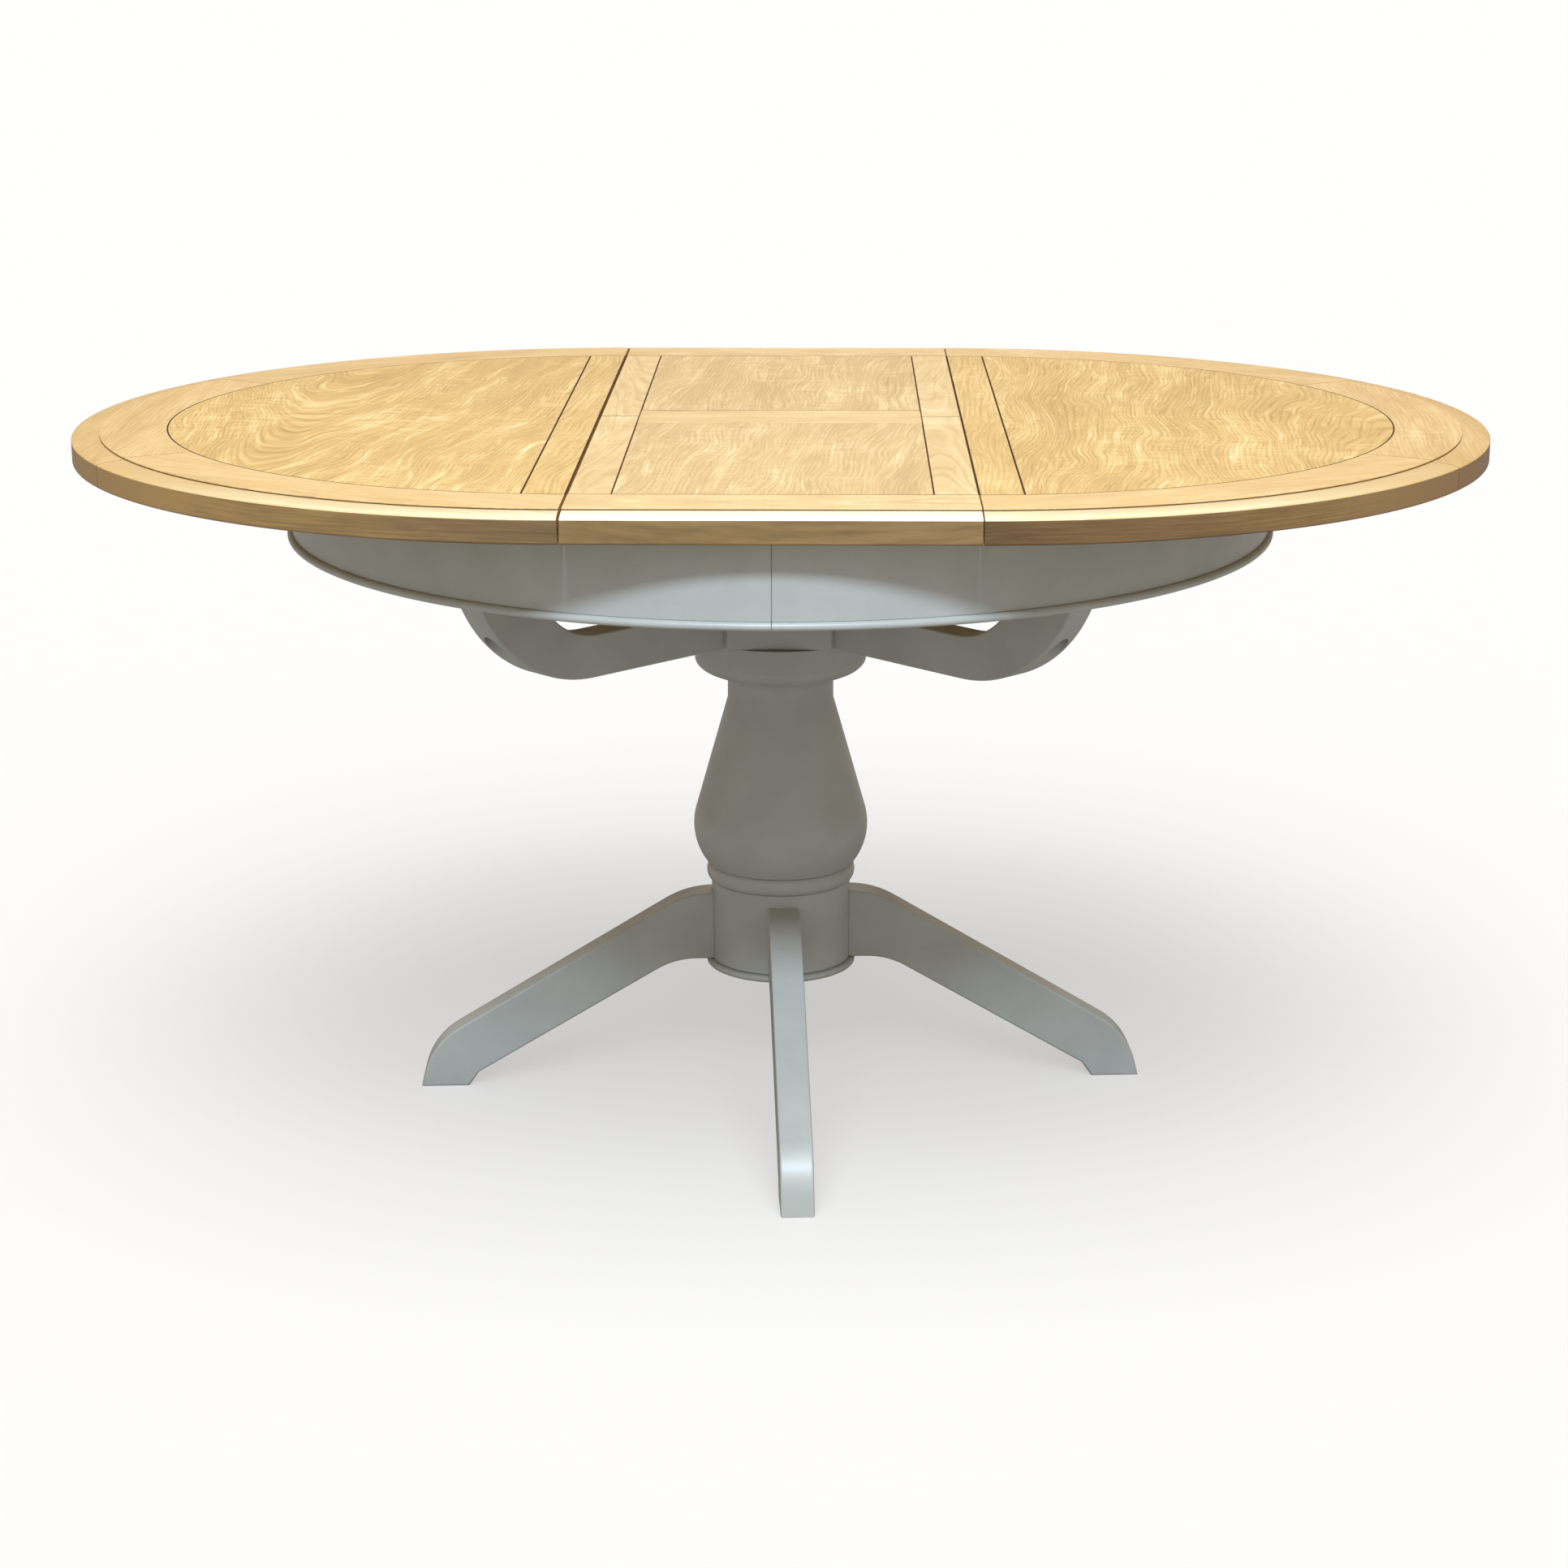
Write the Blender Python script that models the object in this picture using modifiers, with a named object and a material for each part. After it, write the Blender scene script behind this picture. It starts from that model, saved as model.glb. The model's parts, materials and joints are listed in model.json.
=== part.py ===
"""Round-to-oval extending pedestal dining table, shown extended with its folding leaf in place.

Metres, +Z up, standing on the floor with the pedestal's axis on Z. X runs along the extension,
-Y is the front. Two half-round tops slide apart along X on a fixed, round, painted frame, and
the leaf between them is in two halves that fold face to face about a line along X.
"""

from math import acos, asin, atan2, cos, hypot, pi, radians, sin, sqrt, tan

import bmesh
import bpy
from mathutils import Matrix

# --- driving dimensions ----------------------------------------------------------------------
HEIGHT = 0.780              # floor to tabletop
TOP_RADIUS = 0.575          # the closed table is round
LEAF_WIDTH = 0.400          # what the leaf adds along X
TOUCH = 0.0003              # gap between pieces that touch
JOINT_GAP = 0.001           # gap between the leaf and each half top

# tabletop
EDGE_THICKNESS = 0.030      # rim and end rails
BOARD_THICKNESS = 0.022     # panels and stiles
RIM_WIDTH = 0.1025          # rim and end rails, from the outer edge inwards
HALF_STILE = 0.0438         # stile along each half top's joint
LEAF_STILE = 0.0432
FOLD_RAIL = 0.0420          # rail of each leaf half along the fold
MOULDING_WIDTH = 0.030      # thumbnail moulding round the top edge
MOULDING_STEP = 0.0022      # its sharp step down from the flat top
MOULDING_DROP = 0.0062      # its full drop at the outer edge
BOTTOM_ROUND = 0.0025
GROOVE_BEVEL = 0.0007       # eased edges that show each joint as a fine groove
RIM_PIECES = 3              # pieces in each half's rim
STEPS_PER_PIECE = 16        # facets round one rim piece

# frame under the top
FRAME_RADIUS = 0.5410       # outside of the apron
APRON_WALL = 0.018
APRON_HEIGHT = 0.0785
TOP_CLEARANCE = 0.0025      # between the apron and the sliding rim
BEAD_HEIGHT = 0.0088
BEAD_REACH = 0.0055         # how far the bead stands proud of the apron
APRON_STEPS = 48            # facets round half the apron
SPLICE = (0.100, 0.019, 0.050)
CROSS_BOARD = (0.080, 0.0247)   # width and thickness
BOARD_CLEARANCE = 0.002     # between the cross boards' ends and the apron

# slides
TRAVEL = 0.060              # outward slide of each half top
WELL_CLEARANCE = 0.0075     # each side of the folded leaf, between the runners
RAIL_SECTION = (0.024, 0.0677)
RAIL_CLEARANCE = 0.016      # from the rails' ends to the apron
RUNNER_SECTION = (0.020, 0.030)
RUNNER_CLEARANCE = 0.010    # from the runners' ends to the apron, slid out
RUNNER_INNER_END = 0.050
SLIDE_CLEARANCE = 0.0005
TONGUE = (0.006, 0.0074)    # reach and height
GROOVE_EXTRA = 0.0005       # groove larger than the tongue, all round

# leaf hinges and turn buttons
HINGE_X = 0.100
BARREL_RADIUS = 0.006
BARREL_LENGTH = 0.022
BARREL_DEPTH = 0.011        # its centre below the top
BUTTON_Y = 0.345
BUTTON_INSET = 0.027        # pivot to the joint
BUTTON_LENGTH = 0.048       # pivot to the tip
BUTTON_WIDTH = 0.018
BUTTON_THICKNESS = 0.005
BUTTON_BOSS = (0.0065, 0.003)

# hub and arms
HUB_HALF = 0.090
HUB_FACE = 0.115            # width of its four main faces
HUB_HEIGHT = 0.047
ARM_THICKNESS = 0.036
ARM_LOWER_ARC = 0.168       # radius of the arm's outer sweep
ARM_UPPER_ARC = 0.085       # radius of its inner sweep
ARM_ARCS_APART = 0.007      # from the start of the inner sweep to that of the outer one
ARM_CLEARANCE = 0.064       # from the arm's end to the apron
ARM_BOLT_INSET = 0.045      # from the arm's end to its bolt
BOLT_RADIUS = 0.004
BOLT_HEAD = (0.0065, 0.008)     # radius and height
BOLT_SOCKET = (0.0035, 0.004)
BOLT_BITE = 0.020           # depth in the cross board
HOLE_CLEARANCE = 0.0004
COUNTERBORE_RADIUS = 0.012
COUNTERBORE_TOP = 0.0775    # its roof, where the bolt head bears, above the arm's underside
ARM_RISE = 0.1305           # from the arm's underside up to the cross board

# pedestal, from the floor up
LEG_TURN = radians(3.3)     # the legs stand slightly turned against the top
COLLAR_BOTTOM = 0.1437
BASE_RING_HEIGHT = 0.0075
COLLAR_RADIUS = 0.0796
BASE_RING_REACH = 0.0061    # how far the base ring stands proud of the collar
COLLAR_TOP = 0.2460
COLLAR_RING_HEIGHT = 0.0200
COLLAR_RING_REACH = 0.0054  # how far the bead ring stands proud of the collar
BELLY_RADIUS = 0.0995
BELLY_ARC = 0.070           # radius of the belly's profile
BELLY_RISE = 0.0445         # belly's widest point above its foot
NECK_RADIUS = 0.0600
NECK_HEIGHT = 0.028
NECK_WAIST = 0.0572         # radius just under the disc
DISC_RADIUS = 0.0971
DISC_EDGE = 0.0266          # straight edge of the disc
DISC_OVOLO = 0.0192         # height of the rounding below it
TURN_STEPS = 40

# legs, in the plane of each leg: s is the distance from the pedestal's axis
LEG_THICKNESS = 0.0358
LEG_SLOPE = radians(31.0)
LEG_ROOT_TOP = 0.2315
LEG_TOP_START = 0.078       # where the upper arc leaves the level
LEG_TOP_ARC = 0.107
LEG_FOOT_REACH = 0.4195
LEG_FOOT_LENGTH = 0.055
LEG_UNDER_START = 0.099
LEG_UNDER_ARC = 0.088
LEG_END_SLOPE = radians(75.5)
LEG_TOE_ARC = 0.085
LEG_HEEL_SLOPE = radians(55.0)
LEG_HEEL_RISE = 0.0165
EASED = 0.0022              # eased edges of legs and arms

# --- derived ---------------------------------------------------------------------------------
HALF_LEAF = LEAF_WIDTH / 2
JOINT_X = HALF_LEAF + JOINT_GAP
RIM_INNER = TOP_RADIUS - RIM_WIDTH
BOARD_BOTTOM = HEIGHT - BOARD_THICKNESS
RIM_BOTTOM = HEIGHT - EDGE_THICKNESS
APRON_TOP = RIM_BOTTOM - TOP_CLEARANCE
APRON_BOTTOM = APRON_TOP - APRON_HEIGHT
APRON_INNER = FRAME_RADIUS - APRON_WALL
RAIL_TOP = BOARD_BOTTOM - TOUCH
RAIL_BOTTOM = RAIL_TOP - RAIL_SECTION[1]
CROSS_TOP = RAIL_BOTTOM - TOUCH
CROSS_BOTTOM = CROSS_TOP - CROSS_BOARD[1]
GROOVE_Z = RAIL_TOP - RUNNER_SECTION[1] / 2
HUB_BOTTOM = CROSS_BOTTOM - ARM_RISE
DISC_TOP = HUB_BOTTOM - TOUCH
ARM_TOP = CROSS_BOTTOM - TOUCH
ARM_SWEEP = asin((HUB_BOTTOM + ARM_LOWER_ARC - ARM_TOP) / ARM_LOWER_ARC)
ARM_REACH = APRON_INNER - ARM_CLEARANCE
ARM_BOLT_S = ARM_REACH - ARM_BOLT_INSET
CROSS_BOARD_X = ARM_BOLT_S * cos(pi / 4)
RAIL_Y = HALF_LEAF + WELL_CLEARANCE + RUNNER_SECTION[0] + SLIDE_CLEARANCE + RAIL_SECTION[0] / 2
BASE_RING_RADIUS = COLLAR_RADIUS + BASE_RING_REACH
COLLAR_RING_RADIUS = COLLAR_RADIUS + COLLAR_RING_REACH
APRON_FACES = APRON_INNER * cos(pi / (2 * APRON_STEPS))     # middle of each inner facet
FACET = pi / (RIM_PIECES * STEPS_PER_PIECE)

PART = "extending_dining_table"
OAK = ((0.66, 0.42, 0.19), 0.45, 0.0)
PAINT = ((0.42, 0.44, 0.41), 0.50, 0.0)
BEECH = ((0.58, 0.40, 0.24), 0.60, 0.0)
STEEL = ((0.46, 0.46, 0.47), 0.35, 1.0)
BRASS = ((0.70, 0.52, 0.22), 0.35, 1.0)


# --- scene and materials ---------------------------------------------------------------------
def clear_scene():
    for item in list(bpy.data.objects):
        bpy.data.objects.remove(item, do_unlink=True)


def new_collection(name):
    collection = bpy.data.collections.new(name)
    bpy.context.scene.collection.children.link(collection)
    return collection


def give_material(item, look):
    """A Principled material of the piece's own: colour, roughness and metallic value."""
    colour, roughness, metallic = look
    material = bpy.data.materials.new(item.name)
    material.use_nodes = True
    shader = material.node_tree.nodes["Principled BSDF"]
    shader.inputs["Base Color"].default_value = (*colour, 1.0)
    shader.inputs["Roughness"].default_value = roughness
    shader.inputs["Metallic"].default_value = metallic
    item.data.materials.append(material)


def add_mesh(name, bm, look=None, location=(0, 0, 0), rotation=(0, 0, 0)):
    """A mesh object from a bmesh: a piece when it has a look, else a cutter."""
    bmesh.ops.recalc_face_normals(bm, faces=bm.faces)
    mesh = bpy.data.meshes.new(name)
    bm.to_mesh(mesh)
    bm.free()
    item = bpy.data.objects.new(name, mesh)
    item.location = location
    item.rotation_euler = rotation
    if look:
        pieces.objects.link(item)
        give_material(item, look)
        mesh.shade_smooth()
        mesh.set_sharp_from_angle(angle=radians(35))
    else:
        cutters.objects.link(item)
        item.hide_render = True
        item.display_type = "WIRE"
    return item


def hang(item, parent, place):
    """Parent a piece to an empty at place, leaving the piece where it is."""
    item.parent = parent
    item.matrix_parent_inverse = Matrix.Translation(place).inverted()


def joint_empty(name, place):
    empty = bpy.data.objects.new(name, None)
    empty.location = place
    empty.empty_display_size = 0.05
    pieces.objects.link(empty)
    return empty


def bevel(item, width, segments=1, angle=40):
    modifier = item.modifiers.new("ease edges", "BEVEL")
    modifier.width = width
    modifier.segments = segments
    modifier.limit_method = "ANGLE"
    modifier.angle_limit = radians(angle)


def cut(item, cutter, operation="DIFFERENCE"):
    modifier = item.modifiers.new(operation.lower(), "BOOLEAN")
    modifier.operation = operation
    modifier.object = cutter


# --- shape helpers ---------------------------------------------------------------------------
def arc(centre, radius, start, end, count):
    """Points on an arc from start to end angle, both included."""
    turn = (end - start) / count
    return [
        (centre[0] + radius * cos(start + i * turn), centre[1] + radius * sin(start + i * turn))
        for i in range(count + 1)
    ]


def flat_outline(points, thickness):
    """The mesh of a closed 2D curve filled on both sides and extruded to its thickness."""
    curve = bpy.data.curves.new("outline", "CURVE")
    curve.dimensions = "2D"
    curve.fill_mode = "BOTH"
    curve.extrude = thickness / 2
    spline = curve.splines.new("POLY")
    spline.points.add(len(points) - 1)
    for point, (x, y) in zip(spline.points, points):
        point.co = (x, y, 0, 1)
    spline.use_cyclic_u = True
    holder = bpy.data.objects.new("outline", curve)
    bpy.context.scene.collection.objects.link(holder)
    mesh = bpy.data.meshes.new_from_object(holder.evaluated_get(bpy.context.evaluated_depsgraph_get()))
    bpy.data.objects.remove(holder)
    bm = bmesh.new()
    bm.from_mesh(mesh)
    bmesh.ops.remove_doubles(bm, verts=bm.verts, dist=0.00001)
    return bm


def plan_board(name, points, bottom, top, look):
    """A flat board of the given plan outline, from bottom to top."""
    bm = flat_outline(points, top - bottom)
    return add_mesh(name, bm, look, location=(0, 0, (bottom + top) / 2))


def upright_board(name, points, thickness, heading, look):
    """A board standing in the vertical plane at this heading, outlined in (s, z)."""
    bm = flat_outline(points, thickness)
    return add_mesh(name, bm, look, rotation=(pi / 2, 0, heading))


def moulded_bar(name, points, length, x, look):
    """A bar along X with its section outlined in (y, z), centred at x."""
    bm = flat_outline(points, length)
    return add_mesh(name, bm, look, location=(x, 0, 0), rotation=(pi / 2, 0, pi / 2))


def box(name, low, high, look):
    bm = bmesh.new()
    size = [b - a for a, b in zip(low, high)]
    middle = [(a + b) / 2 for a, b in zip(low, high)]
    bmesh.ops.create_cube(bm, size=1, matrix=Matrix.Diagonal((*size, 1)))
    return add_mesh(name, bm, look, location=middle)


def cylinder(name, radius, length, middle, look=None, axis="Z", sides=24):
    bm = bmesh.new()
    bmesh.ops.create_cone(
        bm, cap_ends=True, segments=sides, radius1=radius, radius2=radius, depth=length
    )
    turn = {"X": (0, pi / 2, 0), "Y": (pi / 2, 0, 0), "Z": (0, 0, 0)}[axis]
    return add_mesh(name, bm, look, location=middle, rotation=turn)


def turned(name, profile, look, steps=TURN_STEPS, place=(0, 0, 0)):
    """A turned piece: a profile in (r, z), outer side from top to bottom, on a Screw modifier."""
    mesh = bpy.data.meshes.new(name)
    edges = [(i, i + 1) for i in range(len(profile) - 1)]
    mesh.from_pydata([(r, 0, z) for r, z in profile], edges, [])
    item = bpy.data.objects.new(name, mesh)
    item.location = place
    pieces.objects.link(item)
    give_material(item, look)
    screw = item.modifiers.new("turn", "SCREW")
    screw.steps = steps
    screw.render_steps = steps
    screw.use_merge_vertices = True
    screw.merge_threshold = 0.00001
    screw.use_smooth_shade = True
    return item


def ring_piece(name, profile, centre_x, start, end, steps, look):
    """A closed (r, z) section swept round a vertical axis from one angle to another."""
    bm = bmesh.new()
    corners = [bm.verts.new((r * cos(start), r * sin(start), z)) for r, z in profile]
    face = bm.faces.new(corners)
    bmesh.ops.spin(
        bm, geom=[face, *face.edges, *face.verts], cent=(0, 0, 0), axis=(0, 0, 1),
        angle=end - start, steps=steps, use_duplicate=False,
    )
    return add_mesh(name, bm, look, location=(centre_x, 0, 0))


def edge_section(inner):
    """Section of the moulded edge in (r, z), r outwards: thumbnail above, small round below."""
    outer = TOP_RADIUS
    flat_end = outer - MOULDING_WIDTH
    low = HEIGHT - EDGE_THICKNESS
    nose = [
        (flat_end + MOULDING_WIDTH * sin(a),
         HEIGHT - MOULDING_DROP + (MOULDING_DROP - MOULDING_STEP) * cos(a))
        for a in [i * pi / 8 for i in range(5)]
    ]
    return [
        (inner, low),
        *arc((outer - BOTTOM_ROUND, low + BOTTOM_ROUND), BOTTOM_ROUND, -pi / 2, 0, 3),
        *reversed(nose),
        (flat_end, HEIGHT),
        (inner + GROOVE_BEVEL, HEIGHT),
        (inner, HEIGHT - GROOVE_BEVEL),
    ]


# --- tabletop --------------------------------------------------------------------------------
def inside_rim(angle):
    """Distance from the rim's centre to just inside its faceted inner wall at this angle."""
    off = (angle % FACET) - FACET / 2
    return RIM_INNER * cos(FACET / 2) / cos(off) - TOUCH


def rim_line(start, end):
    """Points just inside the rim from start to end angle, with a corner wherever the rim has one."""
    first, last = sorted((start, end))
    turns = [k * FACET for k in range(-RIM_PIECES * STEPS_PER_PIECE, RIM_PIECES * STEPS_PER_PIECE)]
    angles = [first, *[a for a in turns if first + 0.001 < a < last - 0.001], last]
    return [(inside_rim(a) * cos(a), inside_rim(a) * sin(a)) for a in angles]


def half_top(side, sign):
    """One half-round top: rim in three pieces, field panel and the stile along the joint."""
    slide = joint_empty(f"{side}_top_slide", (sign * JOINT_X, 0, BOARD_BOTTOM))
    centre = sign * JOINT_X
    made = []
    heading = 0 if sign > 0 else pi
    piece_angle = pi / RIM_PIECES
    trim = TOUCH / 2 / TOP_RADIUS
    names = ("front", "end", "back") if sign > 0 else ("back", "end", "front")
    for index, place in enumerate(names):
        start = heading - pi / 2 + index * piece_angle
        first = trim if index > 0 else 0
        last = trim if index < RIM_PIECES - 1 else 0
        made.append(ring_piece(
            f"{side}_rim_{place}", edge_section(RIM_INNER), centre,
            start + first, start + piece_angle - last, STEPS_PER_PIECE, OAK,
        ))
    spread = acos((HALF_STILE + TOUCH) / (RIM_INNER * cos(FACET / 2) - TOUCH))
    outline = [(centre + sign * x, y) for x, y in rim_line(-spread, spread)]
    made.append(plan_board(f"{side}_field_panel", outline, BOARD_BOTTOM, HEIGHT, OAK))
    bevel(made[-1], GROOVE_BEVEL)
    lean = asin((HALF_STILE - TOUCH) / (RIM_INNER - TOUCH))
    end = rim_line(pi / 2 - lean, pi / 2)
    outline = [(centre + sign * x, y) for x, y in end + [(x, -y) for x, y in reversed(end)]]
    made.append(plan_board(f"{side}_inner_stile", outline, BOARD_BOTTOM, HEIGHT, OAK))
    bevel(made[-1], GROOVE_BEVEL)
    for item in made:
        hang(item, slide, slide.location)
    return slide


def leaf_half(place, sign):
    """One half of the leaf: panel framed by two stiles, a moulded end rail and the fold rail."""
    made = []
    low = BOARD_BOTTOM
    panel_x = HALF_LEAF - LEAF_STILE
    fold = TOUCH
    reach = RIM_INNER - TOUCH

    def board(name, x0, x1, y0, y1):
        ys = sorted((sign * y0, sign * y1))
        item = box(name, (x0, ys[0], low), (x1, ys[1], HEIGHT), OAK)
        bevel(item, GROOVE_BEVEL)
        made.append(item)
        return item

    board(f"{place}_leaf_panel", TOUCH - panel_x, panel_x - TOUCH, FOLD_RAIL + TOUCH, reach)
    board(f"{place}_leaf_left_stile", -HALF_LEAF, -panel_x, fold, reach)
    board(f"{place}_leaf_right_stile", panel_x, HALF_LEAF, fold, reach)
    rail = board(f"{place}_leaf_fold_rail", TOUCH - panel_x, panel_x - TOUCH, fold, FOLD_RAIL)
    section = [(sign * y, z) for y, z in edge_section(RIM_INNER)]
    made.append(moulded_bar(f"{place}_leaf_end_rail", section, LEAF_WIDTH, 0, OAK))
    for side, x in (("left", -HINGE_X), ("right", HINGE_X)):
        centre = (x, sign * (fold + BARREL_LENGTH / 2), HEIGHT - BARREL_DEPTH)
        hole = cylinder(
            f"cut_hinge_{place}_{side}", BARREL_RADIUS + TOUCH, BARREL_LENGTH + 4 * TOUCH,
            centre, axis="Y",
        )
        cut(rail, hole)
        made.append(cylinder(
            f"{place}_leaf_hinge_{side}", BARREL_RADIUS, BARREL_LENGTH, centre, BRASS, "Y",
        ))
    return made


# --- slides ----------------------------------------------------------------------------------
def slide_rail(place, sign):
    """Fixed rail along X with a groove down both sides for the runners' tongues."""
    half, top, bottom = RAIL_SECTION[0] / 2, RAIL_TOP, RAIL_BOTTOM
    depth = TONGUE[0] + GROOVE_EXTRA
    rise = TONGUE[1] / 2 + GROOVE_EXTRA
    side = [
        (half, bottom), (half, GROOVE_Z - rise), (half - depth, GROOVE_Z - rise),
        (half - depth, GROOVE_Z + rise), (half, GROOVE_Z + rise), (half, top),
    ]
    section = side + [(-y, z) for y, z in reversed(side)]
    section = [(y + sign * RAIL_Y, z) for y, z in section]
    length = 2 * sqrt((APRON_INNER - RAIL_CLEARANCE) ** 2 - (RAIL_Y + half) ** 2)
    moulded_bar(f"{place}_slide_rail", section, length, 0, BEECH)


def runner(side, x_sign, place, y_sign, slide):
    """Sliding bar under one half top; the left half's run inside the rails, the right's outside."""
    away = 1 if x_sign > 0 else -1
    width, height = RUNNER_SECTION
    face = RAIL_SECTION[0] / 2 + SLIDE_CLEARANCE
    rise = TONGUE[1] / 2
    tip = face - TONGUE[0]
    section = [
        (face, RAIL_TOP - height), (face, GROOVE_Z - rise), (tip, GROOVE_Z - rise),
        (tip, GROOVE_Z + rise), (face, GROOVE_Z + rise), (face, RAIL_TOP),
        (face + width, RAIL_TOP), (face + width, RAIL_TOP - height),
    ]
    section = [(y_sign * (RAIL_Y + away * y), z) for y, z in section]
    outer_end = sqrt((APRON_INNER - RUNNER_CLEARANCE) ** 2 - (RAIL_Y + face + width) ** 2) - TRAVEL
    length = outer_end + RUNNER_INNER_END
    middle = x_sign * (outer_end - RUNNER_INNER_END) / 2
    bar = moulded_bar(f"{side}_runner_{place}", section, length, middle, BEECH)
    hang(bar, slide, slide.location)


def turn_button(side, x_sign, place, y_sign, slide):
    """Steel button on a vertical screw under the half top; a quarter turn takes it under the leaf."""
    half = BUTTON_WIDTH / 2
    tip = (0, BUTTON_LENGTH - half)
    outline = arc((0, 0), half, pi, 2 * pi, 8) + arc(tip, half, 0, pi, 8)
    outline = [(x, y_sign * y) for x, y in outline]
    bm = flat_outline(outline, BUTTON_THICKNESS)
    place_xy = (x_sign * (JOINT_X + BUTTON_INSET), y_sign * BUTTON_Y)
    middle = RAIL_TOP - BUTTON_THICKNESS / 2
    button = add_mesh(f"{side}_turn_button_{place}", bm, STEEL, location=(*place_xy, middle))
    radius, height = BUTTON_BOSS
    boss = cylinder(
        f"join_boss_{side}_{place}", radius, height + BUTTON_THICKNESS,
        (*place_xy, middle - height / 2), sides=16,
    )
    cut(button, boss, "UNION")
    hang(button, slide, slide.location)
    hang(boss, slide, slide.location)


# --- painted frame ---------------------------------------------------------------------------
def apron_half(side, heading):
    """Half of the round apron and the half-round bead under it."""
    seam = TOUCH / 2 / FRAME_RADIUS
    span = (heading - pi / 2 + seam, heading + pi / 2 - seam)
    wall = [
        (APRON_INNER, APRON_BOTTOM), (FRAME_RADIUS, APRON_BOTTOM),
        (FRAME_RADIUS, APRON_TOP), (APRON_INNER, APRON_TOP),
    ]
    ring_piece(f"{side}_apron", wall, 0, *span, APRON_STEPS, PAINT)
    top = APRON_BOTTOM - TOUCH
    nose = (BEAD_HEIGHT - TOUCH) / 2
    centre = (FRAME_RADIUS + BEAD_REACH - nose, top - nose)
    bead = [
        (APRON_INNER, top - 2 * nose), *arc(centre, nose, -pi / 2, pi / 2, 4), (APRON_INNER, top)
    ]
    ring_piece(f"{side}_apron_bead", bead, 0, *span, APRON_STEPS, PAINT)


def splice_block(place, sign):
    """Block glued behind the seam between the two apron halves."""
    length, depth, height = SPLICE
    outer = sqrt((APRON_FACES - TOUCH) ** 2 - (length / 2) ** 2)
    ys = sorted((sign * outer, sign * (outer - depth)))
    middle = (APRON_BOTTOM + APRON_TOP) / 2
    box(
        f"{place}_splice_block", (-length / 2, ys[0], middle - height / 2),
        (length / 2, ys[1], middle + height / 2), BEECH,
    )


def cross_board(side, sign):
    """Flat board across the frame: it ties rails and apron, and the arms bolt up into it."""
    width = CROSS_BOARD[0]
    far = CROSS_BOARD_X + width / 2
    half = sqrt((APRON_INNER - BOARD_CLEARANCE) ** 2 - far ** 2)
    xs = sorted((sign * (CROSS_BOARD_X - width / 2), sign * far))
    board = box(
        f"{side}_cross_board", (xs[0], -half, CROSS_BOTTOM), (xs[1], half, CROSS_TOP), BEECH
    )
    for y_sign in (-1, 1):
        x, y = (ARM_BOLT_S * cos(pi / 4) * s for s in (sign, y_sign))
        depth = BOLT_BITE + 4 * TOUCH
        hole = cylinder(
            f"cut_board_{side}_{y_sign}", BOLT_RADIUS + HOLE_CLEARANCE, 2 * depth,
            (x, y, CROSS_BOTTOM), sides=16,
        )
        cut(board, hole)


def hub():
    """Square hub block with its corners cut off, each cut taking an arm."""
    face = HUB_FACE / 2
    corners = [(HUB_HALF, -face), (HUB_HALF, face), (face, HUB_HALF), (-face, HUB_HALF)]
    outline = corners + [(-x, -y) for x, y in corners]
    block = plan_board("hub_block", outline, HUB_BOTTOM, HUB_BOTTOM + HUB_HEIGHT, PAINT)
    bevel(block, 0.001)


def arm_outline():
    """Arm in (s, z): level from the hub, then swept up to the underside of the frame."""
    root = (HUB_HALF + HUB_FACE / 2) * cos(pi / 4) + TOUCH
    low, high = HUB_BOTTOM, HUB_BOTTOM + HUB_HEIGHT
    start = ARM_REACH - ARM_LOWER_ARC * cos(ARM_SWEEP)
    upper_end = asin((high + ARM_UPPER_ARC - ARM_TOP) / ARM_UPPER_ARC)
    inner_start = start - ARM_ARCS_APART
    under = arc((start, low + ARM_LOWER_ARC), ARM_LOWER_ARC, -pi / 2, -ARM_SWEEP, 10)
    above = arc((inner_start, high + ARM_UPPER_ARC), ARM_UPPER_ARC, -pi / 2, -upper_end, 6)
    return [(root, low), *under, *reversed(above), (root, high)]


def arm(name, heading):
    """Painted arm with a bolt up through its counterbored end."""
    board = upright_board(f"{name}_arm", arm_outline(), ARM_THICKNESS, heading, PAINT)
    bevel(board, EASED)
    x, y = ARM_BOLT_S * cos(heading), ARM_BOLT_S * sin(heading)
    seat = HUB_BOTTOM + COUNTERBORE_TOP
    low = HUB_BOTTOM
    cut(board, cylinder(f"cut_bolt_{name}", BOLT_RADIUS + HOLE_CLEARANCE, 2 * (ARM_TOP - low),
                        (x, y, ARM_TOP), sides=16))
    cut(board, cylinder(f"cut_bore_{name}", COUNTERBORE_RADIUS, seat - low,
                        (x, y, (seat + low) / 2)))
    radius, height = BOLT_HEAD
    under = seat - TOUCH
    tip = CROSS_BOTTOM + BOLT_BITE
    profile = [
        (0, tip), (BOLT_RADIUS - 0.001, tip), (BOLT_RADIUS, tip - 0.001), (BOLT_RADIUS, under),
        (radius, under), (radius, under - height), (0, under - height),
    ]
    bolt = turned(f"{name}_arm_bolt", profile, STEEL, 16, (x, y, 0))
    socket_radius, socket_depth = BOLT_SOCKET
    socket = cylinder(
        f"cut_socket_{name}", socket_radius, 2 * socket_depth, (x, y, under - height), sides=6
    )
    cut(bolt, socket)


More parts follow.
